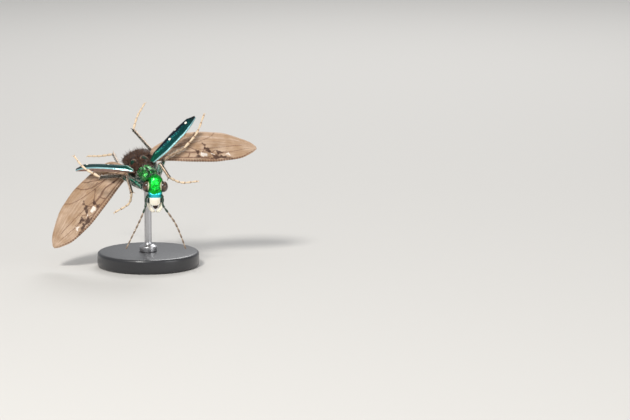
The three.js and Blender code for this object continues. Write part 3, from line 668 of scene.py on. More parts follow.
# Head: a hard capsule, brilliant green between the eyes and cyan at the clypeus. It is broad at the
# cheeks, ridged along each eye, and sits in the front collar of the pronotum.
HEAD_TURN = {"yaw": -36, "pitch": 48, "roll": -28}  # degrees, on the thorax's axes
HEAD_ROOT = (PRONOTUM_LENGTH + 0.1, 0.5, 0.1)  # on the pronotum's axes
HEAD_ROWS = [
    (-0.35, 0.75, 0.75, -0.7), (0.2, 1.03, 0.98, -0.93), (0.9, 0.98, 1.02, -0.98), (1.6, 0.98, 0.95, -0.93),
    (2.3, 0.97, 0.73, -0.83), (2.7, 0.84, 0.52, -0.74), (2.82, 0.7, 0.4, -0.62),
]
EYE_RIDGE = {"y": 0.5, "height": 0.05, "width": 0.12}
BROW_HOLLOW = {"depth": 0.1, "width": 0.35}
CLYPEUS_SEAM = {"x": 2.32, "arc": 0.55, "depth": 0.06, "width": 0.09}
HEAD_FOLDS = {"depth": 0.015, "size": 0.5}
head_frame = placed(pronotum_frame @ Vector(HEAD_ROOT), HEAD_TURN)


def head_shape(x, y, z):
    """A hollow between two ridges that run along the eyes, and a seam across above the clypeus."""
    above = rise_between(0.2, 0.8, z)
    ridges = EYE_RIDGE["height"] * bump(abs(y) - EYE_RIDGE["y"], EYE_RIDGE["width"]) * bump(x - 1.2, 1.0)
    hollow = BROW_HOLLOW["depth"] * bump(y, BROW_HOLLOW["width"]) * bump(x - 1.25, 0.9)
    brow = CLYPEUS_SEAM["x"] - CLYPEUS_SEAM["arc"] * y * y
    seam = CLYPEUS_SEAM["depth"] * bump(x - brow, CLYPEUS_SEAM["width"])
    folds = HEAD_FOLDS["depth"] * crumple((x, y, 17), HEAD_FOLDS["size"])
    return above * (ridges - hollow - seam + folds), rise_between(brow - 0.06, brow + 0.06, x) * above


def head_finish():
    """Brilliant green, with a cyan clypeus."""
    finish, colour, wrinkles = green_finish("head_green", (0.006, 0.58, 0.035), (0.0, 0.34, 0.03), 0.06)
    colour = finish.blend(finish.mark("Z"), colour, (0.03, 0.6, 0.72))
    ridges = finish.noise(0.12, 2, (3, 1, 1))
    return finish.shown(colour, 0.2 + 0.14 * wrinkles, 0.92, height=wrinkles + ridges, depth=0.02)


head = Form(head_frame).trunk(HEAD_ROWS, 110, 120, head_shape, 2.3)
head = head.made("head_capsule", head_finish(), "green_cuticle", "head")
add_hairs("head_down", head, "head", PALE_DOWN, "green_cuticle", 13, 3.5, 0.26, 0.011)

# Eyes: large bulging domes of packed facets, dark glossy brown, with a painted highlight as a pale rim
# on the inner side.
# They are set into the head's sides.
EYE = {"x": 1.1, "y": 1.13, "z": 0.16, "radii": (0.76, 0.62, 0.76)}
EYE_RINGS = 36
EYE_SIDES = 48


def eye_finish():
    """Dark brown facets, and a painted highlight as a pale rim where the dome meets the head."""
    finish = Finish("eye_facets", coat_weight=0.7, coat_roughness=0.08, roughness=0.22)
    facets = finish.cells(0.055)
    bands = finish.noise(0.5, 2)
    rim = finish.mark("Y")
    colour = finish.blend(bands.between(0.35, 0.65), (0.012, 0.005, 0.003), (0.1, 0.045, 0.024))
    # The pale rim at the dome's inner base is a painted highlight.
    colour = finish.blend(rim.between(-0.25, -0.4), colour, (0.62, 0.55, 0.42))
    return finish.shown(colour, height=1 - facets, depth=0.012)


def eye_form(sign):
    """A dome in rings from its outer pole inwards. Its second mark is how far out each ring lies."""
    long, wide, high = EYE["radii"]
    rings, marks = [], []
    for i in range(1, EYE_RINGS):
        slope = math.pi * i / EYE_RINGS
        out, girth = math.cos(slope), math.sin(slope)
        angles = [-sign * 2 * math.pi * j / EYE_SIDES for j in range(EYE_SIDES)]
        y = sign * (EYE["y"] + wide * out)
        rings.append([
            (EYE["x"] + long * girth * math.cos(angle), y, EYE["z"] + high * girth * math.sin(angle))
            for angle in angles
        ])
        marks.append([(0, out, 0)] * EYE_SIDES)
    return Form(head_frame).rings(rings, marks)


EYE_FINISH = eye_finish()
for side, sign in SIDES:
    eye_form(sign).made(f"eye_dome_{side}", EYE_FINISH, "eye", f"eye_{side}")

# Mouth: a broad ivory labrum with a toothed front edge over two curved mandibles, dark at their roots
# and teeth and ivory between, and jointed palps beside a dark floor below. All are rooted in the front
# of the head.
LABRUM = {"x": 2.75, "half_width": 0.72, "length": 1.12, "thickness": 0.42, "top": 0.47, "slope": 18}
LABRUM_EDGE = {"teeth": 5, "tooth": 0.07, "bow": 0.12, "drop": 0.16}
LABRUM_RINGS = 25
LABRUM_SIDES = 20
MANDIBLE = {"x": 2.75, "y": 0.68, "z": -0.5, "reach": 1.66, "radius": 0.33}
MANDIBLE_RADII = [(0, MANDIBLE["radius"]), (0.5, MANDIBLE["radius"] * 0.9), (0.88, 0.23), (1, 0.06)]
MANDIBLE_TEETH = ((20, 0.34), (26, 0.44), (32, 0.34))  # place among 40 steps along the blade, and length
TOOTH_RADIUS = 0.16
PALP = {"x": 2.2, "y": 0.5, "z": -0.95, "reach": 1.05}
PALP_JOINTS = 4
PALP_PROFILE = [(0, 0.085), (0.25, 0.13), (0.8, 0.15), (1, 0.09)]
MOUTH_FLOOR = {"x": 2.2, "z": -0.73, "reach": 1.8}
MOUTH_FLOOR_RADII = [(0, 0.3), (0.6, 0.42), (0.9, 0.3), (1, 0.08)]


def ivory_finish(name, tip_from, root_to=-1.0):
    """Glossy ivory horn, dark green up to root_to along the piece and dark brown from tip_from."""
    finish = Finish(name, coat_weight=0.35, coat_roughness=0.15, subsurface_weight=0.15)
    finish.surface.inputs["Subsurface Radius"].default_value = (0.0004, 0.0003, 0.0002)
    stain = finish.noise(0.25, 4)
    reach = finish.mark("X") + 0.12 * stain
    colour = finish.blend(stain, (0.78, 0.72, 0.56), (0.95, 0.92, 0.82))
    colour = finish.blend(reach.between(tip_from, tip_from + 0.22), colour, (0.09, 0.03, 0.014))
    colour = finish.blend(reach.between(root_to + 0.1, root_to), colour, (0.004, 0.03, 0.02))
    return finish.shown(colour, 0.28 + 0.15 * stain, height=stain, depth=0.02)


def labrum_form():
    """A plate bowed from side to side, thin at its front edge, with blunt teeth."""
    rings, marks = [], []
    slope = math.radians(LABRUM["slope"])
    for i in range(LABRUM_RINGS):
        across = -1 + 2 * i / (LABRUM_RINGS - 1)
        shoulder = math.sqrt(max(1 - abs(across) ** 3.2, 0.02))
        tooth = 0.5 + 0.5 * math.cos(across * math.pi * LABRUM_EDGE["teeth"])
        reach = LABRUM["length"] * (0.5 + 0.42 * shoulder) + LABRUM_EDGE["tooth"] * tooth * shoulder
        bow = LABRUM_EDGE["bow"] * (1 - across * across) - LABRUM_EDGE["drop"]
        ring, ring_marks = [], []
        for j in range(LABRUM_SIDES):
            angle = 2 * math.pi * j / LABRUM_SIDES
            ahead = reach * (0.5 + 0.5 * math.cos(angle))
            share = ahead / LABRUM["length"]
            thick = LABRUM["thickness"] * (1 - 0.6 * share) * (0.5 + 0.5 * shoulder)
            up = thick * 0.5 * math.sin(angle) + bow
            x = LABRUM["x"] + ahead * math.cos(slope) + up * math.sin(slope)
            z = LABRUM["top"] - ahead * math.sin(slope) + up * math.cos(slope)
            ring.append((x, LABRUM["half_width"] * across, z))
            ring_marks.append((share, 0, 0))
        rings.append(ring)
        marks.append(ring_marks)
    return Form(head_frame).rings(rings, marks)


def mandible_form(sign):
    """A blade that curves in to its tip, with three teeth on its inner side."""
    x, y, z, reach = (MANDIBLE[key] for key in ("x", "y", "z", "reach"))
    points = [
        Vector((x - 0.5, sign * y, z)), Vector((x + reach * 0.42, sign * (y + 0.13), z - 0.05)),
        Vector((x + reach * 0.86, sign * (y - 0.18), z - 0.1)), Vector((x + reach, sign * 0.06, z - 0.12)),
    ]
    form = Form(head_frame).tube(points, MANDIBLE_RADII, 60, 28, 0.85)
    path = way_through(points, 41)
    for place, length in MANDIBLE_TEETH:
        first = len(form.marks)
        form.thorn(path[place], (0.45, -sign, 0), length, TOOTH_RADIUS)
        form.marks[first:] = [(0.68 + 0.42 * mark[0], 0, 0) for mark in form.marks[first:]]
    return form


def palp_form(sign):
    """Two jointed palps, the longer one outside, each joint narrow where it starts."""
    x, y, z, reach = (PALP[key] for key in ("x", "y", "z", "reach"))
    form = Form(head_frame)
    ways = [
        [(-0.2, y, z + 0.3), (reach * 0.35, y + 0.25, z - 0.35), (reach * 0.98, y + 0.35, z - 0.62)],
        [(-0.1, y - 0.28, z + 0.35), (reach * 0.4, y - 0.3, z - 0.2), (reach * 0.85, y - 0.22, z - 0.35)],
    ]
    for way in ways:
        points = [(x + ahead, sign * aside, up) for ahead, aside, up in way]
        form.joints(points, [1] * PALP_JOINTS, PALP_PROFILE, 3, 8, 12)
    return form


def mouth_floor_form():
    """A flat tongue of cuticle under the mandibles."""
    x, z, reach = MOUTH_FLOOR["x"], MOUTH_FLOOR["z"], MOUTH_FLOOR["reach"]
    ends = [Vector((x, 0, z + 0.15)), Vector((x + reach * 0.6, 0, z)), Vector((x + reach, 0, z + 0.04))]
    return Form(head_frame).tube(ends, MOUTH_FLOOR_RADII, 24, 24, 0.45)


def mouth_floor_finish():
    """Dark mottled brown."""
    finish = Finish("mouth_floor_cuticle", coat_weight=0.3, coat_roughness=0.2)
    mottle = finish.noise(0.2, 4)
    colour = finish.blend(mottle, (0.012, 0.006, 0.004), (0.09, 0.04, 0.022))
    return finish.shown(colour, 0.3 + 0.2 * mottle, height=mottle, depth=0.02)


mouth_floor_form().made("mouth_floor", mouth_floor_finish(), "pale_mouth", "palp_left")
labrum_form().made("labrum_plate", ivory_finish("labrum_ivory", 1.05), "pale_mouth", "labrum")
MANDIBLE_FINISH = ivory_finish("mandible_ivory", 0.93, 0.42)
PALP_FINISH = ivory_finish("palp_ivory", 0.95)
for side, sign in SIDES:
    mandible_form(sign).made(f"mandible_blade_{side}", MANDIBLE_FINISH, "pale_mouth", f"mandible_{side}")
    palp_form(sign).made(f"palp_joints_{side}", PALP_FINISH, "pale_mouth", f"palp_{side}")

# Antennae: eleven slim joints each. The first four are metallic, and the rest dull brown and downy with
# pale bases. Each plugs into a socket between the eye and the mandible.
ANTENNA = Vector((2.45, 0.95, 0.3))
ANTENNA_JOINTS = 11
ANTENNA_RADIUS = 0.165
ANTENNA_TAPER = 0.035  # share of the radius that each joint loses to the one before
ANTENNA_PROFILE = [(0, 0.5), (0.12, 0.7), (0.8, 1), (1, 0.6)]
ANTENNA_ROOT = [(-0.25, -0.1, -0.1), (0.55, 0.2, 0.5), (1.4, 0.2, 0.65)]
ANTENNA_WAYS = {
    "left": [(2.5, 0.92, 0.55), (4.0, 1.93, 0.4), (5.75, 2.7, 0.3), (7.48, 3.34, 0.15)],
    "right": [(2.75, 0.65, 0.55), (4.4, 1.4, 0.4), (5.95, 2.15, 0.3), (7.38, 2.84, 0.15)],
}


def antenna_form(side, sign):
    """Tapering joints along the antenna's way, the first one stouter."""
    way = ANTENNA_ROOT + ANTENNA_WAYS[side]
    points = [(ANTENNA.x + x, sign * (ANTENNA.y + y), ANTENNA.z + z) for x, y, z in way]
    girths = [ANTENNA_RADIUS * (1 - ANTENNA_TAPER * n if n else 1.15) for n in range(ANTENNA_JOINTS)]
    return Form(head_frame).joints(points, girths, ANTENNA_PROFILE, 6, 12, 14)


def antenna_finish():
    """Downy brown with a pale base to each joint, and metallic green over the first four."""
    finish = Finish("antenna_joints", roughness=0.45, coat_weight=0.15)
    along, joint = finish.mark("X"), finish.mark("Y")
    down = finish.noise(0.08, 3)
    shank = finish.blend(down, (0.1, 0.065, 0.04), (0.27, 0.19, 0.13))
    colour = finish.blend(along.between(0.7, 0.1) * 0.65, shank, (0.5, 0.39, 0.28))
    metal = joint.between(0.34, 0.3)
    colour = finish.blend(metal * 0.9, colour, (0.008, 0.045, 0.028))
    return finish.shown(colour, metallic=metal * 0.5, height=down, depth=0.02)


ANTENNA_FINISH = antenna_finish()
for side, sign in SIDES:
    antenna_form(side, sign).made(f"antenna_whip_{side}", ANTENNA_FINISH, "antenna", f"antenna_{side}")

# Wing cases: hard cambered shells hinged at the shoulders and held out. They are teal to blue-black on
# top with small ivory spots, a painted cyan-white highlight along the bead of the leading margin, and a
# pinkish-brown underside.
ELYTRON_LENGTH = 9.1
ELYTRON_CAMBER = 0.75
ELYTRON_DROOP = 0.5
ELYTRON_THICKNESS = 0.14
ELYTRON_BEADS = ((0.06, 0.09), (0.04, 0.07))  # height and width of the outer bead, then the inner
ELYTRON_RINGS = 120
ELYTRON_STEPS = 40
SHOULDER_DEPTH = 0.5  # how far the shell reaches in past its root
ELYTRON_EDGES = [
    (0, 0.3, -0.45), (0.08, 0.55, -0.65), (0.3, 0.95, -0.85), (0.6, 1.0, -0.95),
    (0.82, 0.65, -0.7), (0.94, 0.25, -0.4), (0.995, 0.0, -0.2),
]
ELYTRA = {
    "left": {"root": Vector((1.05, 2.0, 1.35)), "sweep": -25, "rise": 16.5, "pitch": 14},
    "right": {"root": Vector((1.72, -1.6, 1.34)), "sweep": -38.5, "rise": 12, "pitch": -41},
}


def outward(sign, sweep, rise):
    """The direction that leans forward by sweep and up by rise from straight out to a side."""
    sweep, rise = math.radians(sweep), math.radians(rise)
    return Vector((math.cos(rise) * math.sin(sweep), sign * math.cos(rise) * math.cos(sweep), math.sin(rise)))


def wing_axes(sign, sweep, rise, pitch):
    """Out along a wing, forward across it, and up out of its upper face."""
    out = outward(sign, sweep, rise)
    flat_up = (Vector((0, 0, 1)) - out * out.z).normalized()
    flat_ahead = out.cross(flat_up) * sign
    turn = math.radians(pitch)
    ahead = flat_ahead * math.cos(turn) - flat_up * math.sin(turn)
    up = flat_up * math.cos(turn) + flat_ahead * math.sin(turn)
    return out, ahead, up


def elytron_form(side, sign):
    """The shell as rings round its section, so that its rim is round and its two faces are one skin."""
    pose = ELYTRA[side]
    out, ahead, up = wing_axes(sign, pose["sweep"], pose["rise"], pose["pitch"])
    (outer_bead, outer_width), (inner_bead, inner_width) = ELYTRON_BEADS
    rings, marks = [], []
    for i in range(ELYTRON_RINGS + 1):
        share = 0.999 * (1 - (1 - i / ELYTRON_RINGS) ** 1.35)
        outer, suture = smoothed(ELYTRON_EDGES, share)
        ring, ring_marks = [], []
        for j in range(2 * ELYTRON_STEPS):
            over = j < ELYTRON_STEPS
            t = (j + 0.5 if over else 2 * ELYTRON_STEPS - j - 0.5) / ELYTRON_STEPS
            t = 0.5 - 0.5 * math.cos(math.pi * t)
            bow = 1 - (2 * t - 1) ** 2
            height = ELYTRON_CAMBER * bow * min(1, 6 * share + 0.3, 5 * (1 - share) + 0.35)
            bead = outer_bead * bump(t, outer_width) + inner_bead * bump(1 - t, inner_width)
            rim = math.sqrt(max(1 - (2 * t - 1) ** 8, 0))
            lift = bead * rim if over else -ELYTRON_THICKNESS * rim - bead
            middle = -ELYTRON_THICKNESS * 0.5 * (1 - rim)
            place = pose["root"] + out * (ELYTRON_LENGTH * share - SHOULDER_DEPTH)
            place += ahead * (outer + (suture - outer) * t)
            ring.append(place + up * (height - ELYTRON_DROOP * share**3 + lift + middle - 0.02))
            ring_marks.append((share, t, 1 if over else 0))
        rings.append(ring[::sign])
        marks.append(ring_marks[::sign])
    return Form().rings(rings, marks)


ELYTRON_SPOTS = [(0.43, 0.36, 0.0135), (0.61, 0.6, 0.011), (0.8, 0.32, 0.0145)]  # along, across, size
SPOT_STRETCH = (0.55, 0.16)  # what the shares along and across count for in a spot's size


def elytron_finish():
    """Dark metallic and pitted on top with its spots, a painted cyan-white highlight along the leading edge,
    and dull below.
    """
    finish = Finish("elytron_cuticle", coat_weight=0.3, coat_roughness=0.14)
    along, across, over = finish.mark("X"), finish.mark("Y"), finish.mark("Z")
    mottle = finish.noise(0.5, 3)
    pits = finish.cells(0.13)
    edge = across + 0.3 * mottle - 0.15
    dark = finish.blend(edge.between(0.2, 0.5), (0.0, 0.065, 0.062), (0.003, 0.007, 0.02))
    dark = finish.blend(along.between(0.3, 0.0) * 0.7, dark, (0.0, 0.13, 0.06))
    dark = finish.blend(along.between(0.86, 1.0) * 0.8, dark, (0.03, 0.012, 0.02))
    # Painted highlight: a cyan-white line along the leading margin.
    colour = finish.blend((across + 0.01 * mottle).between(0.03, 0.06), (0.45, 0.85, 0.88), dark)
    spot = None
    for at_along, at_across, size in ELYTRON_SPOTS:
        s, t = (along - at_along) * SPOT_STRETCH[0], (across - at_across) * SPOT_STRETCH[1]
        here = (s * s + t * t).between(size * size, size * size * 0.45)
        spot = here if spot is None else spot + here
    spot = spot * over
    colour = finish.blend(spot, colour, (0.93, 0.9, 0.78))
    hollow = finish.blend(mottle, (0.3, 0.15, 0.12), (0.62, 0.42, 0.34))
    colour = finish.blend(over, hollow, colour)
    metallic = 0.88 * over * (1 - spot)
    roughness = 0.24 + 0.14 * mottle + 0.2 * (1 - over)
    return finish.shown(colour, roughness, metallic, height=0.5 * pits + 0.5 * mottle, depth=0.05)


ELYTRON_FINISH = elytron_finish()
for side, sign in SIDES:
    elytron_form(side, sign).made(f"elytron_shell_{side}", ELYTRON_FINISH, "elytra", f"elytron_{side}")

# Hindwings: pinkish tan, nearly opaque membranes stiffened by brown veins, with dark and pale marks at
# the folding joint halfway along. They hinge on the thorax under the wing cases.
HINDWING_LENGTH = 14.8
MEMBRANE_THICKNESS = 0.1
VEIN_HEIGHT = 0.07
WING_STEPS = 150
CHORD_STEPS = 64
CHORD_SCALE = 5  # millimetres that a whole chord counts for in veins and stains
LENGTH_SCALE = 15  # and a whole length in stains
HINGE_DEPTH = 0.35  # how far the membrane reaches in past its root
SAG = 0.35
PLEATS = {"along": 0.05, "across": 0.06}
ASTRAY = {"along": 0.022, "across": 0.06}  # how far lumps push the edges of a blotch
HINDWING_EDGES = [
    (0, 0.3, -1.3), (0.05, 0.4, -3.0), (0.14, 0.5, -3.75), (0.3, 0.85, -4.15), (0.46, 1.2, -4.25),
    (0.65, 1.5, -3.8), (0.84, 1.25, -2.55), (0.95, 0.6, -1.35), (1, 0.0, -0.35),
]
HINDWINGS = {
    "left": {"root": Vector((-0.8, 1.95, 0.6)), "sweep": -1, "rise": -18, "pitch": 32, "root_pitch": 14},
    "right": {"root": Vector((-0.8, -1.95, 0.3)), "sweep": 9, "rise": -21, "pitch": 39, "root_pitch": 40},
}
# Each vein is its half width in millimetres and its way as shares of the length and the chord
VEINS = [
    (0.13, [(0, 0.05), (0.2, 0.03), (0.45, 0.02), (0.66, 0.02), (0.85, 0.03), (0.97, 0.1)]),
    (0.1, [(0, 0.12), (0.12, 0.11), (0.3, 0.1), (0.45, 0.1), (0.6, 0.07)]),
    (0.11, [(0, 0.18), (0.1, 0.2), (0.18, 0.24), (0.28, 0.31), (0.36, 0.27), (0.44, 0.27)]),
    (0.06, [(0.34, 0.1), (0.36, 0.2), (0.37, 0.29)]),
    (0.06, [(0.46, 0.09), (0.44, 0.2), (0.43, 0.31)]),
    (0.06, [(0.43, 0.31), (0.55, 0.37), (0.7, 0.44), (0.86, 0.52)]),
    (0.06, [(0.5, 0.09), (0.6, 0.18), (0.75, 0.27), (0.93, 0.36)]),
    (0.08, [(0, 0.3), (0.1, 0.4), (0.22, 0.5), (0.34, 0.6), (0.42, 0.76), (0.46, 0.97)]),
    (0.06, [(0.22, 0.5), (0.34, 0.52), (0.47, 0.61), (0.58, 0.76), (0.64, 0.96)]),
    (0.05, [(0.34, 0.52), (0.39, 0.4), (0.43, 0.31)]),
    (0.07, [(0, 0.42), (0.07, 0.58), (0.13, 0.75), (0.17, 0.96)]),
    (0.06, [(0.07, 0.58), (0.16, 0.66), (0.24, 0.8), (0.29, 0.97)]),
    (0.05, [(0.12, 0.42), (0.15, 0.54), (0.16, 0.66)]),
    (0.05, [(0.22, 0.5), (0.27, 0.66), (0.35, 0.85), (0.38, 0.97)]),
    (0.055, [(0.43, 0.31), (0.48, 0.25), (0.53, 0.3), (0.57, 0.25), (0.61, 0.32), (0.66, 0.25), (0.71, 0.29)]),
    (0.05, [(0.48, 0.25), (0.51, 0.36), (0.52, 0.52)]),
    (0.05, [(0.57, 0.25), (0.58, 0.15), (0.63, 0.08)]),
]
# Each blotch is its place along and across, its reach both ways, and how brown or, below 0, white it is
BLOTCHES = [
    (0.435, 0.28, 0.03, 0.09, 1.1), (0.44, 0.14, 0.022, 0.06, 0.9), (0.53, 0.36, 0.035, 0.07, 1.1),
    (0.55, 0.27, 0.025, 0.05, 1.2), (0.59, 0.13, 0.04, 0.08, 1.2), (0.64, 0.24, 0.045, 0.07, 1.2),
    (0.66, 0.09, 0.06, 0.08, 1.3), (0.74, 0.03, 0.05, 0.05, 0.8), (0.49, 0.19, 0.04, 0.08, -1.5),
    (0.575, 0.215, 0.025, 0.035, -1.4), (0.72, 0.18, 0.05, 0.05, -1.0), (0.19, 0.24, 0.04, 0.04, 0.9),
    (0.52, 0.5, 0.03, 0.04, 0.7), (0.3, 0.6, 0.03, 0.1, 0.6),
]


def vein_lines():
    """Each vein's half width and the points of its way, in millimetres on the wing laid flat."""
    lines = []
    for half_width, way in VEINS:
        line = way_through([(s * HINDWING_LENGTH, c * CHORD_SCALE, 0) for s, c in way], 40)
        lines.append((half_width, np.array([(p.x, p.y) for p in line])))
    return lines


def vein_at(share, chord, lines):
    """1 on a vein and 0 away from them all."""
    spot = np.array((share * HINDWING_LENGTH, chord * CHORD_SCALE))
    vein = 0.0
    for half_width, line in lines:
        gap = float(np.min(np.hypot(*(line - spot).T)))
        vein = max(vein, 1 - rise_between(half_width * 0.5, half_width * 1.7, gap))
    return vein


def stain_at(share, chord):
    """How brown or white the blotches make a place, with ragged edges."""
    place = (share * LENGTH_SCALE, chord * CHORD_SCALE)
    share += ASTRAY["along"] * crumple((*place, 21), 0.5)
    chord += ASTRAY["across"] * crumple((*place, 29), 0.5)
    stain = 0.0
    for s, c, reach_s, reach_c, tone in BLOTCHES:
        stain += tone * bump(math.hypot((share - s) / reach_s, (chord - c) / reach_c), 1.0)
    return stain


def hindwing_form(side, sign):
    """A film in rings round its section, raised on both faces along the veins."""
    pose = HINDWINGS[side]
    lines = vein_lines()
    rings, marks = [], []
    for i in range(WING_STEPS + 1):
        share = 0.998 * i / WING_STEPS
        pitch = pose["root_pitch"] + (pose["pitch"] - pose["root_pitch"]) * rise_between(0, 0.4, share)
        out, ahead, up = wing_axes(sign, pose["sweep"], pose["rise"], pitch)
        lead, trail = smoothed(HINDWING_EDGES, share)
        top, under, mark_row = [], [], []
        for j in range(CHORD_STEPS + 1):
            chord = j / CHORD_STEPS
            vein = vein_at(share, chord, lines)
            sag = SAG * math.sin(math.pi * chord) * math.sin(math.pi * share)
            pleat = PLEATS["along"] * math.sin(chord * 34 + 3 * share) * rise_between(0.25, 0.7, chord)
            pleat += PLEATS["across"] * math.sin(share * 21 + 5 * chord) * rise_between(0.45, 0.75, share)
            base = pose["root"] + out * (HINDWING_LENGTH * share - HINGE_DEPTH)
            base += ahead * (lead - (lead - trail) * chord) + up * (sag + pleat * min(1, 8 * (1 - share)))
            rim = min(1, 14 * chord + 0.3, 14 * (1 - chord) + 0.3)
            half = MEMBRANE_THICKNESS / 2 * rim + VEIN_HEIGHT * vein
            top.append(base + up * half)
            under.append(base - up * half)
            mark_row.append((stain_at(share, chord), chord, vein))
        rings.append(top + under[::-1] if sign > 0 else under + top[::-1])
        marks.append(mark_row + mark_row[::-1])
    return Form().rings(rings, marks)


def hindwing_finish():
    """Tan film, darker in random patches and with painted shade in the valleys of its fold relief, with brown
    veins and the brown and white stains.
    """
    finish = Finish("hindwing_film", roughness=0.55, specular_ior_level=0.3)
    stain, chord, vein = finish.mark("X"), finish.mark("Y"), finish.mark("Z")
    cloud, fine = finish.noise(1.6, 4), finish.noise(0.3, 5)
    folds = finish.node("ShaderNodeCombineXYZ", None, {0: chord * 14, 1: cloud * 1.2})
    folds = finish.node("ShaderNodeTexNoise", None, {"Vector": folds, "Scale": 2.2, "Detail": 4.0})
    film = finish.blend(cloud.between(0.3, 0.7), (0.46, 0.3, 0.18), (0.64, 0.47, 0.34))
    # Darker in random patches, and painted shade where the fold relief is low.
    film = finish.blend(0.3 * fine + folds.between(0.62, 0.38) * 0.3, film, (0.26, 0.14, 0.075))
    colour = finish.blend(vein.between(0.1, 0.8) * 0.75, film, (0.13, 0.055, 0.03))
    brown = (stain + 0.7 * fine - 0.35).between(0.2, 0.7)
    white = (0.5 * fine - stain - 0.25).between(0.2, 0.6)
    colour = finish.blend(brown * 0.92, colour, (0.06, 0.024, 0.014))
    colour = finish.blend(white * 0.9, colour, (0.9, 0.82, 0.74))
    return finish.shown(colour, alpha=0.94 + 0.06 * vein, height=0.4 * fine + folds, depth=0.06)


HINDWING_FINISH = hindwing_finish()
for side, sign in SIDES:
    hindwing_form(side, sign).made(f"hindwing_film_{side}", HINDWING_FINISH, "membrane", f"hindwing_{side}")

# Legs: six, each a swollen metallic femur, a slim tibia with two spurs at its end, and a pale tarsus of
# five joints that ends in two claws. Each is hinged to its coxa.
LEG_LENGTHS = {
    "front": {"femur": 3.1, "tibia": 2.65, "tarsus": (2.0, 2.2)},
    "middle": {"femur": 3.15, "tibia": 3.35, "tarsus": (2.63, 2.7)},
    "hind": {"femur": 4.65, "tibia": 5.4, "tarsus": (2.4, 2.8)},
}
# Directions are sweep and rise, in degrees from straight out to the leg's own side
LEG_POSES = {
    "front_left": {"femur": (-38, 43), "tibia": (79, -42), "tarsus": ((-19, -48), (18, -13))},
    "front_right": {"femur": (-51, 38), "tibia": (81, -38), "tarsus": ((-43, -51), (3, -9))},
    "middle_left": {"femur": (9, 50), "tibia": (21, 13), "tarsus": ((-9, 26), (-18, 42))},
    "middle_right": {"femur": (12, 56), "tibia": (24, 26), "tarsus": ((-47, 36), (-74, 30))},
    "hind_left": {"femur": (-79, 22), "tibia": (-104, 26), "tarsus": ((-55, 23), (-52, 13))},
    "hind_right": {"femur": (-75, 17), "tibia": (-89, 3), "tarsus": ((-45, -3), (-53, -1))},
}
FEMUR_RADII = [(0, 0.22), (0.06, 0.26), (0.28, 0.37), (0.7, 0.28), (0.93, 0.23), (1, 0.2)]
TIBIA_RADII = [(0, 0.18), (0.06, 0.24), (0.2, 0.22), (0.8, 0.21), (0.95, 0.24), (1, 0.2)]
TROCHANTER_RADII = [(0, 0.2), (0.5, 0.3), (1, 0.2)]
TARSUS_JOINTS = 5
TARSUS_RADIUS = 0.19
TARSUS_TAPER = 0.012  # how much slimmer each joint is than the one before
TARSUS_PROFILE = [(0, 0.5), (0.2, 0.72), (0.85, 1), (1, 0.7)]
SPUR_LENGTH = 0.62
SPUR_RADIUS = 0.085
CLAW_LENGTH = 0.42
CLAW_RADII = [(0, 0.07), (0.5, 0.055), (1, POINT_RADIUS)]


def leg_joints(name):
    """The five places that a leg runs through, from the hip to the toe."""
    pair, side = name.split("_")
    sign = 1 if side == "left" else -1
    lengths, pose = LEG_LENGTHS[pair], LEG_POSES[name]
    x, y, z = COXAE[pair][1]
    hip = Vector((x, sign * y, z))
    knee = hip + outward(sign, *pose["femur"]) * lengths["femur"]
    ankle = knee + outward(sign, *pose["tibia"]) * lengths["tibia"]
    instep = ankle + outward(sign, *pose["tarsus"][0]) * lengths["tarsus"][0]
    toe = instep + outward(sign, *pose["tarsus"][1]) * lengths["tarsus"][1]
    return hip, knee, ankle, instep, toe


def femur_form(hip, knee):
    """A swollen thigh with the trochanter, a short knuckle, round its root."""
    ahead = (knee - hip).normalized()
    form = Form().tube([hip, knee], FEMUR_RADII, 40, 24)
    return form.tube([hip - ahead * 0.25, hip + ahead * 0.4], TROCHANTER_RADII, 8, 16)


def tibia_form(knee, ankle, instep):
    """A slim shin with two spurs that stand clear of the tarsus."""
    form = Form().tube([knee, ankle], TIBIA_RADII, 40, 20)
    ahead, toe_ward = (ankle - knee).normalized(), (instep - ankle).normalized()
    aside, away = ahead.cross(toe_ward).normalized(), (ahead - toe_ward).normalized()
    for turn in (1, -1):
        out = aside * turn + away * 0.6 + ahead * 0.5
        form.thorn(ankle - ahead * 0.2, out, SPUR_LENGTH, SPUR_RADIUS)
    return form


def tarsus_form(ankle, instep, toe):
    """Five joints in a row, and two claws at their end."""
    girths = [TARSUS_RADIUS - TARSUS_TAPER * n for n in range(TARSUS_JOINTS)]
    form = Form().joints([ankle, instep, toe], girths, TARSUS_PROFILE, 6, 12, 14)
    ahead = (toe - instep).normalized()
    aside = ahead.cross(Vector((0, 0, 1))).normalized()
    down = aside.cross(ahead)
    for turn in (1, -1):
        bend = toe + ahead * CLAW_LENGTH * 0.4 + aside * 0.17 * turn
        tip = toe + ahead * CLAW_LENGTH * 0.65 + aside * 0.24 * turn - down * 0.1
        form.tube([toe - ahead * 0.05, bend, tip], CLAW_RADII, 8, 8)
    return form


def femur_finish():
    """Mottled metallic green, brown at both ends."""
    finish = Finish("femur_cuticle", coat_weight=0.3, coat_roughness=0.15)
    along, mottle = finish.mark("X"), finish.noise(0.35, 4)
    colour = finish.blend(mottle.between(0.35, 0.65), (0.001, 0.014, 0.012), (0.015, 0.16, 0.1))
    ends = along.between(0.86, 1.0) + along.between(0.1, 0.0)
    colour = finish.blend(ends * 0.8, colour, (0.25, 0.13, 0.07))
    return finish.shown(colour, 0.26 + 0.2 * mottle, 0.85 - 0.5 * ends, height=finish.cells(0.06), depth=0.02)


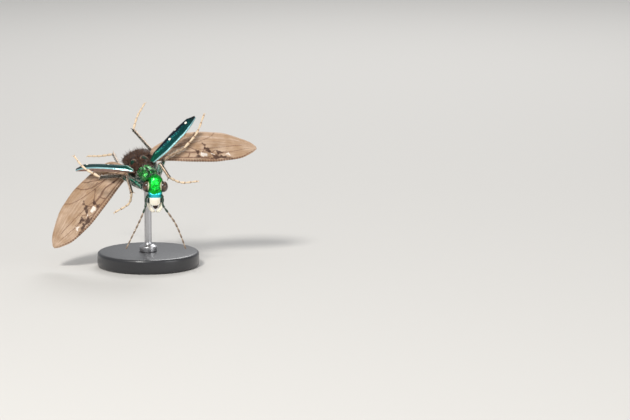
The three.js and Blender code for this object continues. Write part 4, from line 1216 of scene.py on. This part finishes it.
def tibia_finish():
    """Pale brown, with painted shade down one flank."""
    finish = Finish("tibia_cuticle", coat_weight=0.25, coat_roughness=0.2)
    along, shaded_flank, mottle = finish.mark("X"), finish.mark("Y"), finish.noise(0.25, 4)
    colour = finish.blend(mottle.between(0.3, 0.7), (0.3, 0.18, 0.11), (0.66, 0.5, 0.36))
    dark = finish.blend(mottle, (0.01, 0.02, 0.015), (0.06, 0.04, 0.025))
    # Painted shade: one flank of the shin is dark.
    colour = finish.blend((shaded_flank + 0.5 * along - 0.25).between(0.25, -0.15), colour, dark)
    return finish.shown(colour, 0.36, 0.35, height=mottle, depth=0.02)


def tarsus_finish():
    """Pale straw, browner at each joint's end."""
    finish = Finish("tarsus_cuticle", coat_weight=0.2, roughness=0.4)
    along, mottle = finish.mark("X"), finish.noise(0.2, 4)
    colour = finish.blend(mottle, (0.66, 0.46, 0.28), (0.9, 0.76, 0.56))
    colour = finish.blend(along.between(0.75, 1.0), colour, (0.3, 0.15, 0.08))
    return finish.shown(colour, height=mottle, depth=0.015)


HAIR_LEAN = 0.9  # how far a leg's hairs lie over towards its end
FEMUR_FINISH = femur_finish()
TIBIA_FINISH = tibia_finish()
TARSUS_FINISH = tarsus_finish()
for leg in LEG_POSES:
    hip, knee, ankle, instep, toe = leg_joints(leg)
    thigh = femur_form(hip, knee).made(f"{leg}_thigh", FEMUR_FINISH, "leg", f"{leg}_femur")
    shin = tibia_form(knee, ankle, instep).made(f"{leg}_shin", TIBIA_FINISH, "leg", f"{leg}_tibia")
    along_thigh = tuple(attitude.to_3x3() @ (knee - hip).normalized() * HAIR_LEAN)
    along_shin = tuple(attitude.to_3x3() @ (ankle - knee).normalized() * HAIR_LEAN)
    add_hairs(f"{leg}_thigh_down", thigh, f"{leg}_femur", PALE_DOWN, "leg", 21, 34, 0.34, 0.018, along_thigh)
    add_hairs(f"{leg}_shin_spines", shin, f"{leg}_tibia", PALE_DOWN, "leg", 23, 30, 0.3, 0.016, along_shin)
    tarsus_form(ankle, instep, toe).made(f"{leg}_foot", TARSUS_FINISH, "tarsus", f"{leg}_tarsus")

# Stand: a turned steel base in satin black enamel, and a brushed steel rod with a small collar, which
# holds the animal up under its breast.
BASE_RADIUS = 7.0
BASE_HEIGHT = 2.0
ROD_RADIUS = 0.5
COLLAR_RADIUS = 1.2
COLLAR_HEIGHT = 0.7
AXIS_GAP = 0.02  # how near to its axis a turned end face starts
BASE_ROUNDING = 0.45
ROD_TOP = FLIGHT_HEIGHT - 1.2


def turned_piece(name, profile, finish, node, sides=128):
    """A piece turned on a lathe: a closed skin round Z through a profile of (radius, height)."""
    points, faces = [], []
    angles = [2 * math.pi * j / sides for j in range(sides)]
    for r, z in profile:
        points += [(r * math.cos(angle) * MM, r * math.sin(angle) * MM, z * MM) for angle in angles]
    for i in range(len(profile) - 1):
        for j in range(sides):
            k = (j + 1) % sides
            faces.append((i * sides + j, i * sides + k, (i + 1) * sides + k, (i + 1) * sides + j))
    faces.append(tuple(range(sides))[::-1])
    faces.append(tuple((len(profile) - 1) * sides + j for j in range(sides)))
    mesh = bpy.data.meshes.new(name)
    mesh.from_pydata(points, [], faces)
    mesh.polygons.foreach_set("use_smooth", [len(f.vertices) == 4 for f in mesh.polygons])
    mesh.materials.append(finish)
    fixed(name, mesh, node)


def rounded(corners, radius, steps=5):
    """A profile with its inner corners rounded off."""
    profile = [corners[0]]
    for before, corner, after in zip(corners, corners[1:], corners[2:]):
        before, corner, after = Vector(before), Vector(corner), Vector(after)
        start = corner + (before - corner).normalized() * radius
        end = corner + (after - corner).normalized() * radius
        for i in range(steps + 1):
            t = i / steps
            profile.append(tuple(start * (1 - t) ** 2 + corner * 2 * t * (1 - t) + end * t * t))
    profile.append(corners[-1])
    return profile


def enamel_finish():
    """Satin black with a faint speckle."""
    finish = Finish("stand_enamel", coat_weight=0.4, coat_roughness=0.2)
    speck, sweep = finish.noise(0.4, 5), finish.noise(5.0, 2)
    colour = finish.blend(sweep, (0.012, 0.012, 0.014), (0.028, 0.028, 0.032))
    return finish.shown(colour, 0.34 + 0.12 * speck, height=speck, depth=0.01)


def steel_finish():
    """Bright steel, brushed along its length."""
    finish = Finish("stand_steel", metallic=1.0)
    brushed = finish.noise(0.5, 4, (1, 1, 12))
    colour = finish.blend(brushed, (0.42, 0.42, 0.43), (0.68, 0.68, 0.7))
    return finish.shown(colour, 0.24 + 0.14 * brushed, height=brushed, depth=0.006)


base_corners = [(0.2, 0), (BASE_RADIUS, 0), (BASE_RADIUS, BASE_HEIGHT), (0.2, BASE_HEIGHT)]
base_profile = rounded(base_corners, BASE_ROUNDING)
turned_piece("stand_disc", base_profile, enamel_finish(), "stand_base")
rod_corners = [
    (AXIS_GAP, BASE_HEIGHT), (COLLAR_RADIUS, BASE_HEIGHT),
    (COLLAR_RADIUS, BASE_HEIGHT + 0.35 + COLLAR_HEIGHT / 2),
    (ROD_RADIUS + 0.12, BASE_HEIGHT + 0.3 + COLLAR_HEIGHT), (ROD_RADIUS, BASE_HEIGHT + 0.6 + COLLAR_HEIGHT),
    (ROD_RADIUS, ROD_TOP), (AXIS_GAP, ROD_TOP),
]
turned_piece("stand_post", rounded(rod_corners, 0.1), steel_finish(), "stand_rod", 48)

# Floor: a plain pale table top under the stand.
REACH = 3.0  # metres from its middle to its edges
floor_mesh = bpy.data.meshes.new("table_top")
floor_corners = [(-REACH, -REACH, 0), (REACH, -REACH, 0), (REACH, REACH, 0), (-REACH, REACH, 0)]
floor_mesh.from_pydata(floor_corners, [], [(0, 1, 2, 3)])
floor = bpy.data.objects.new("table_top", floor_mesh)
bpy.context.scene.collection.objects.link(floor)
floor_mesh.materials.append(Finish("pale_table", base_color=(0.6, 0.585, 0.56, 1), roughness=0.8).material)

# Light: a soft box from above and in front, a weak fill from the right, a soft box behind, and a pale
# room all round.
world = bpy.data.worlds.new("pale_room")
world.use_nodes = True
room = world.node_tree.nodes["Background"]
room.inputs["Color"].default_value = (0.95, 0.97, 1.0, 1)
room.inputs["Strength"].default_value = 0.42
bpy.context.scene.world = world
middle = Vector((0, 0, FLIGHT_HEIGHT * MM))


def soft_box(name, place, size, power, colour=(1, 1, 1)):
    """A round lamp aimed at the animal. Place and size are in metres, and power is in watts."""
    lamp = bpy.data.lights.new(name, "AREA")
    lamp.shape = "DISK"
    lamp.size = size
    lamp.energy = power
    lamp.color = colour
    box = bpy.data.objects.new(name, lamp)
    box.location = middle + Vector(place)
    box.rotation_euler = (middle - box.location).to_track_quat("-Z", "Y").to_euler()
    bpy.context.scene.collection.objects.link(box)


soft_box("key_light", (-0.1, -0.24, 0.28), 0.09, 1.2, (1.0, 0.98, 0.94))
soft_box("fill_light", (0.3, -0.2, 0.1), 0.2, 0.3)
soft_box("rim_light", (0.05, 0.3, 0.25), 0.2, 0.6)
bpy.context.scene.view_settings.view_transform = "Standard"

# Camera: looks slightly down on the animal as it flies towards the right of the camera, and keeps the
# animal at the left of the frame.
CAMERA_RISE = math.radians(10)
CAMERA_DISTANCE = 400
PIXELS_PER_MM = 7.3
PHOTO_SIZE = (630, 420)
ANIMAL_AT = (143, 171)  # the thorax, in pixels from the photograph's top left corner
FRAME_WIDTH = PHOTO_SIZE[0] / PIXELS_PER_MM
ASIDE = (PHOTO_SIZE[0] / 2 - ANIMAL_AT[0]) / PIXELS_PER_MM
BELOW = (PHOTO_SIZE[1] / 2 - ANIMAL_AT[1]) / PIXELS_PER_MM
SENSOR_WIDTH = 36
right = Vector((1, 0, 0))
up = Vector((0, math.sin(CAMERA_RISE), math.cos(CAMERA_RISE)))
back = right.cross(up)
lens = bpy.data.cameras.new("camera")
lens.sensor_width = SENSOR_WIDTH
lens.lens = SENSOR_WIDTH * CAMERA_DISTANCE / FRAME_WIDTH
lens.clip_start = 0.01
lens.clip_end = 20
camera = bpy.data.objects.new("camera", lens)
camera.location = (attitude.translation + right * ASIDE - up * BELOW + back * CAMERA_DISTANCE) * MM
camera.rotation_euler = (math.pi / 2 - CAMERA_RISE, 0, 0)
bpy.context.scene.collection.objects.link(camera)
bpy.context.scene.camera = camera
